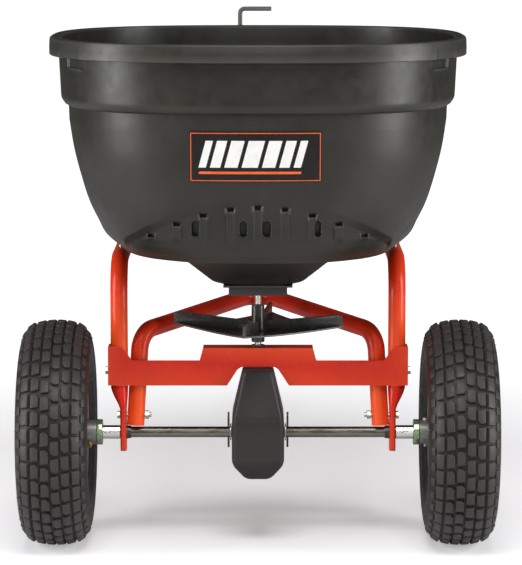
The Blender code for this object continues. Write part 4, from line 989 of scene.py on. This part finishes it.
def housing_points():
    """Corners of the housing: widest at the axle, chamfered below, tapering above."""
    out = []
    for z, hx, hy in (
        (G_LOW, 0.0180, 0.0360),
        (AXLE_Z - 0.0400, 0.0380, 0.0520),
        (G_SIDE, 0.0380, 0.0520),
        (G_TOP, 0.0215, 0.0300),
    ):
        for sx in (-1, 1):
            for sy in (-1, 1):
                out.append((sx * hx, AY + sy * hy, z))
    return out


def halved(form, plane, sign):
    """Keeps one half of a closed form, behind or ahead of a plane, and closes the cut."""
    bmesh.ops.bisect_plane(
        form,
        geom=form.verts[:] + form.edges[:] + form.faces[:],
        plane_co=(0, plane, 0),
        plane_no=(0, -sign, 0),
        clear_outer=True,
    )
    bmesh.ops.holes_fill(form, edges=[e for e in form.edges if e.is_boundary])
    return to_mesh(form)


def build_housing(sign):
    """The rear or front half of the gearbox with its neck."""
    form = bmesh.new()
    verts = [form.verts.new(p) for p in housing_points()]
    bmesh.ops.convex_hull(form, input=verts)
    bmesh.ops.dissolve_limit(form, angle_limit=math.radians(1), verts=form.verts, edges=form.edges)
    mesh = baked(to_mesh(form), bevel(0.0075, 5, 12))
    form = bmesh.new()
    form.from_mesh(mesh)
    plane = AY + sign * GAP / 2
    shell = halved(form, plane, sign)
    neck = bmesh.new()
    bmesh.ops.create_cone(neck, cap_ends=True, segments=64, radius1=0.0135, radius2=0.0112, depth=NECK_H)
    bmesh.ops.translate(neck, vec=(0, AY, G_TOP + NECK_H / 2 - 0.0005), verts=neck.verts)
    return merged(shell, halved(neck, plane, sign))


for sign, tag in ((-1, "rear"), (1, "front")):
    piece("gearbox_" + tag, build_housing(sign), HOUSING, "frame", ["gearbox_housing_" + tag],
          25)

# ---------------------------------------------------------------- frame tubes
FLAT_T = 0.009
FLAT_X = FRAME_X - 0.0056
BAR_Y = AY + 0.250


def build_frame_tube(side):
    """An upright and its run under the hopper, with the lower end pressed flat."""
    x = side * FRAME_X
    path = filleted([(x, AY, AXLE_Z + 0.070), (x, AY, RUN_Z), (x, BAR_Y + 0.022, RUN_Z)], 0.05, 16)
    body = tube_mesh(path, TUBE_R)
    fx = side * FLAT_X
    # height above the axle, middle, half width, half depth and squareness down the flattened end
    stations = [
        (-0.0268, fx, FLAT_T / 2 - 0.0010, 0.0090, 4.0),
        (-0.0262, fx, FLAT_T / 2, 0.0125, 5.0),
        (-0.0235, fx, FLAT_T / 2, 0.0152, 5.0),
        (-0.0190, fx, FLAT_T / 2, 0.0166, 5.0),
        (0.0300, fx, FLAT_T / 2, 0.0166, 5.0),
        (0.0360, fx, FLAT_T / 2 + 0.0002, 0.0165, 4.5),
        (0.0430, fx + side * 0.0011, FLAT_T / 2 + 0.0019, 0.0158, 3.6),
        (0.0510, fx + side * 0.0030, FLAT_T / 2 + 0.0046, 0.0146, 2.8),
        (0.0590, x - side * 0.0009, 0.0113, 0.0134, 2.3),
        (0.0660, x, TUBE_R - 0.0001, TUBE_R, 2.0),
        (0.0720, x, TUBE_R - 0.0002, TUBE_R - 0.0002, 2.0),
    ]
    sides = 48
    t = np.linspace(0, math.tau, sides, endpoint=False)
    c, s = np.cos(t), np.sin(t)
    pts = []
    for dz, xc, hx, hy, p in stations:
        px = xc + hx * np.sign(c) * np.abs(c) ** (2 / p)
        py = AY + hy * np.sign(s) * np.abs(s) ** (2 / p)
        pts.append(np.stack([px, py, np.full(sides, AXLE_Z + dz)], -1))
    flat = grid_mesh(np.array(pts))
    form = bmesh.new()
    form.from_mesh(flat)
    form.verts.ensure_lookup_table()
    form.faces.new([form.verts[k] for k in range(sides)])
    flat = to_mesh(form)
    return merged(body, flat)


for side, tag in ((-1, "left"), (1, "right")):
    piece("leg_tube_" + tag, build_frame_tube(side), ORANGE, "frame", ["frame_tube_" + tag],
          40)

# crossover tube
CROSS_Y = AY + 0.240
CROSS_Z = AXLE_Z + 0.1715
cross_x = FLAT_X - FLAT_T / 2 - GAP - TUBE_R
CROSS_FOOT = AXLE_Z + 0.0105
BEND_Z = AXLE_Z + 0.147
LEAN = 0.0078
cross_path = [
    (-cross_x, AY, CROSS_FOOT),
    (-cross_x + LEAN, AY + 0.010, BEND_Z),
    (0, CROSS_Y, CROSS_Z),
    (cross_x - LEAN, AY + 0.010, BEND_Z),
    (cross_x, AY, CROSS_FOOT),
]
piece("cross_over", tube_mesh(filleted(cross_path, 0.032, 14), TUBE_R), ORANGE, "frame", ["crossover_tube"],
      40)

# ---------------------------------------------------------------- carried-over CAD nodes
SKINS = {
    "hopper_poly": POLY,
    "orange_coat": ORANGE,
    "black_plastic": BLACK,
    "black_coat": LEVER,
    "zinc_steel": ZINC,
    "bright_steel": STEEL,
    "tyre_rubber": RUBBER,
    "rim_paint": RIM,
    "label_film": LABEL,
    "brass": BRASS,
}
DARK_STEEL = surface("dark_steel", ((0.05, 0.05, 0.04), (0.16, 0.16, 0.14)), (0.25, 0.4), metal=0.85,
                     blotch=150, grain=1500, bump=0.1)
SPECIAL = {"axle": AXLE, "gearbox_cotter_left": DARK_STEEL, "gearbox_cotter_right": DARK_STEEL,
           "flow_lever": LEVER, "hub_washer_left": FLANGE, "hub_washer_right": FLANGE}
# Width of the edge bevel, where a node has more than the usual
SOFT = {"cross_plate": 0.0008, "front_bar": 0.0006, "tongue_hanger": 0.0005, "gate_guide": 0.0007}
USUAL_EDGE = 0.00035
for entry in frame["record"]["subparts"]:
    name = entry["node"]
    cad = frame["nodes"][name]
    if cad.hide_render:
        continue
    skin = SPECIAL.get(name, SKINS[entry["material_slot"]])
    cad.data.materials.clear()
    cad.data.materials.append(skin)
    weld = cad.modifiers.new("weld", "WELD")
    weld.merge_threshold = 0.00002
    edge = cad.modifiers.new("edge", "BEVEL")
    edge.width = SOFT.get(name, USUAL_EDGE)
    edge.segments = 2
    edge.limit_method = "ANGLE"
    edge.angle_limit = math.radians(38)
    edge.use_clamp_overlap = True

# ---------------------------------------------------------------- floor, light, camera
FLOOR_GLOW = 0.36  # glow near the part; it grows to 1 over this reach in metres
GLOW_REACH = (0.6, 2.0)
FLOOR_BELOW = 0.0006


def flat_floor():
    """White floor: diffuse for shadows, plus a glow that only the camera's own rays see."""
    made = bpy.data.materials.new("floor")
    made.use_nodes = True
    tree = made.node_tree
    tree.nodes.clear()
    place = tree.nodes.new("ShaderNodeTexCoord").outputs["Object"]
    colour = ramp(tree, noise(tree, place, 2.0, 2.0), [(0.3, (0.84, 0.82, 0.85)), (0.7, (0.86, 0.84, 0.87))])
    matte = tree.nodes.new("ShaderNodeBsdfDiffuse")
    tree.links.new(colour, matte.inputs["Color"])
    glow = node(tree, "ShaderNodeEmission", Color=(1.0, 1.0, 1.0, 1.0))
    seen = tree.nodes.new("ShaderNodeLightPath").outputs["Is Camera Ray"]
    away = tree.nodes.new("ShaderNodeVectorMath")
    away.operation = "LENGTH"
    tree.links.new(place, away.inputs[0])
    level = spread(tree, away.outputs["Value"], FLOOR_GLOW, 1.0, *GLOW_REACH)
    share = node(tree, "ShaderNodeMath", operation="MULTIPLY")
    tree.links.new(level, share.inputs[0])
    tree.links.new(seen, share.inputs[1])
    tree.links.new(share.outputs[0], glow.inputs["Strength"])
    both = tree.nodes.new("ShaderNodeAddShader")
    tree.links.new(matte.outputs[0], both.inputs[0])
    tree.links.new(glow.outputs[0], both.inputs[1])
    out = tree.nodes.new("ShaderNodeOutputMaterial")
    tree.links.new(both.outputs[0], out.inputs["Surface"])
    form = bmesh.new()
    bmesh.ops.create_grid(form, x_segments=1, y_segments=1, size=60)
    mesh = to_mesh(form)
    mesh.materials.append(made)
    floor = bpy.data.objects.new("floor", mesh)
    bpy.context.scene.collection.objects.link(floor)
    floor.location.z = -FLOOR_BELOW


flat_floor()


def area_light(name, place, aim, size, power):
    data = bpy.data.lights.new(name, "AREA")
    data.shape = "RECTANGLE"
    data.size, data.size_y = size
    data.energy = power
    lamp = bpy.data.objects.new(name, data)
    bpy.context.scene.collection.objects.link(lamp)
    lamp.location = place
    lamp.rotation_euler = (Vector(aim) - Vector(place)).to_track_quat("-Z", "Y").to_euler()


SKY_LIGHT = 0.08
world = bpy.data.worlds.new("studio")
bpy.context.scene.world = world
world.use_nodes = True
sky = world.node_tree
background = sky.nodes["Background"]
background.inputs["Color"].default_value = (1.0, 1.0, 1.0, 1.0)
own_rays = sky.nodes.new("ShaderNodeLightPath").outputs["Is Camera Ray"]
# white to the camera, dim as a light
sky.links.new(spread(sky, own_rays, SKY_LIGHT, 1.0, 0.0, 1.0), background.inputs["Strength"])
MID = (0, AY, 0.42)
area_light("left_wall", (-2.1, AY - 0.8, 0.80), MID, (0.8, 1.7), 42)
area_light("right_wall", (2.1, AY - 0.8, 0.80), MID, (0.8, 1.7), 42)
area_light("overhead", (0, AY - 2.0, 2.9), (0, AY, 0.2), (1.5, 1.0), 60)
area_light("camera_side", (0.0, AY - 4.2, 1.5), (0, AY, 0.3), (0.7, 0.5), 12)


CAMERA_X, CAMERA_BACK, CAMERA_Z = 0.0044, 4.0, 0.939
PITCH = 7.87  # degrees down
LENS = 176.75
camera_data = bpy.data.cameras.new("camera")
camera_data.lens = LENS
camera_data.sensor_width = 36
camera_data.sensor_fit = "AUTO"
camera_data.clip_start = 0.1
camera_data.clip_end = 200
camera = bpy.data.objects.new("camera", camera_data)
camera.location = (CAMERA_X, AY - CAMERA_BACK, CAMERA_Z)
camera.rotation_euler = (math.radians(90 - PITCH), 0, 0)
bpy.context.scene.collection.objects.link(camera)
bpy.context.scene.camera = camera
bpy.context.scene.view_settings.view_transform = "Standard"
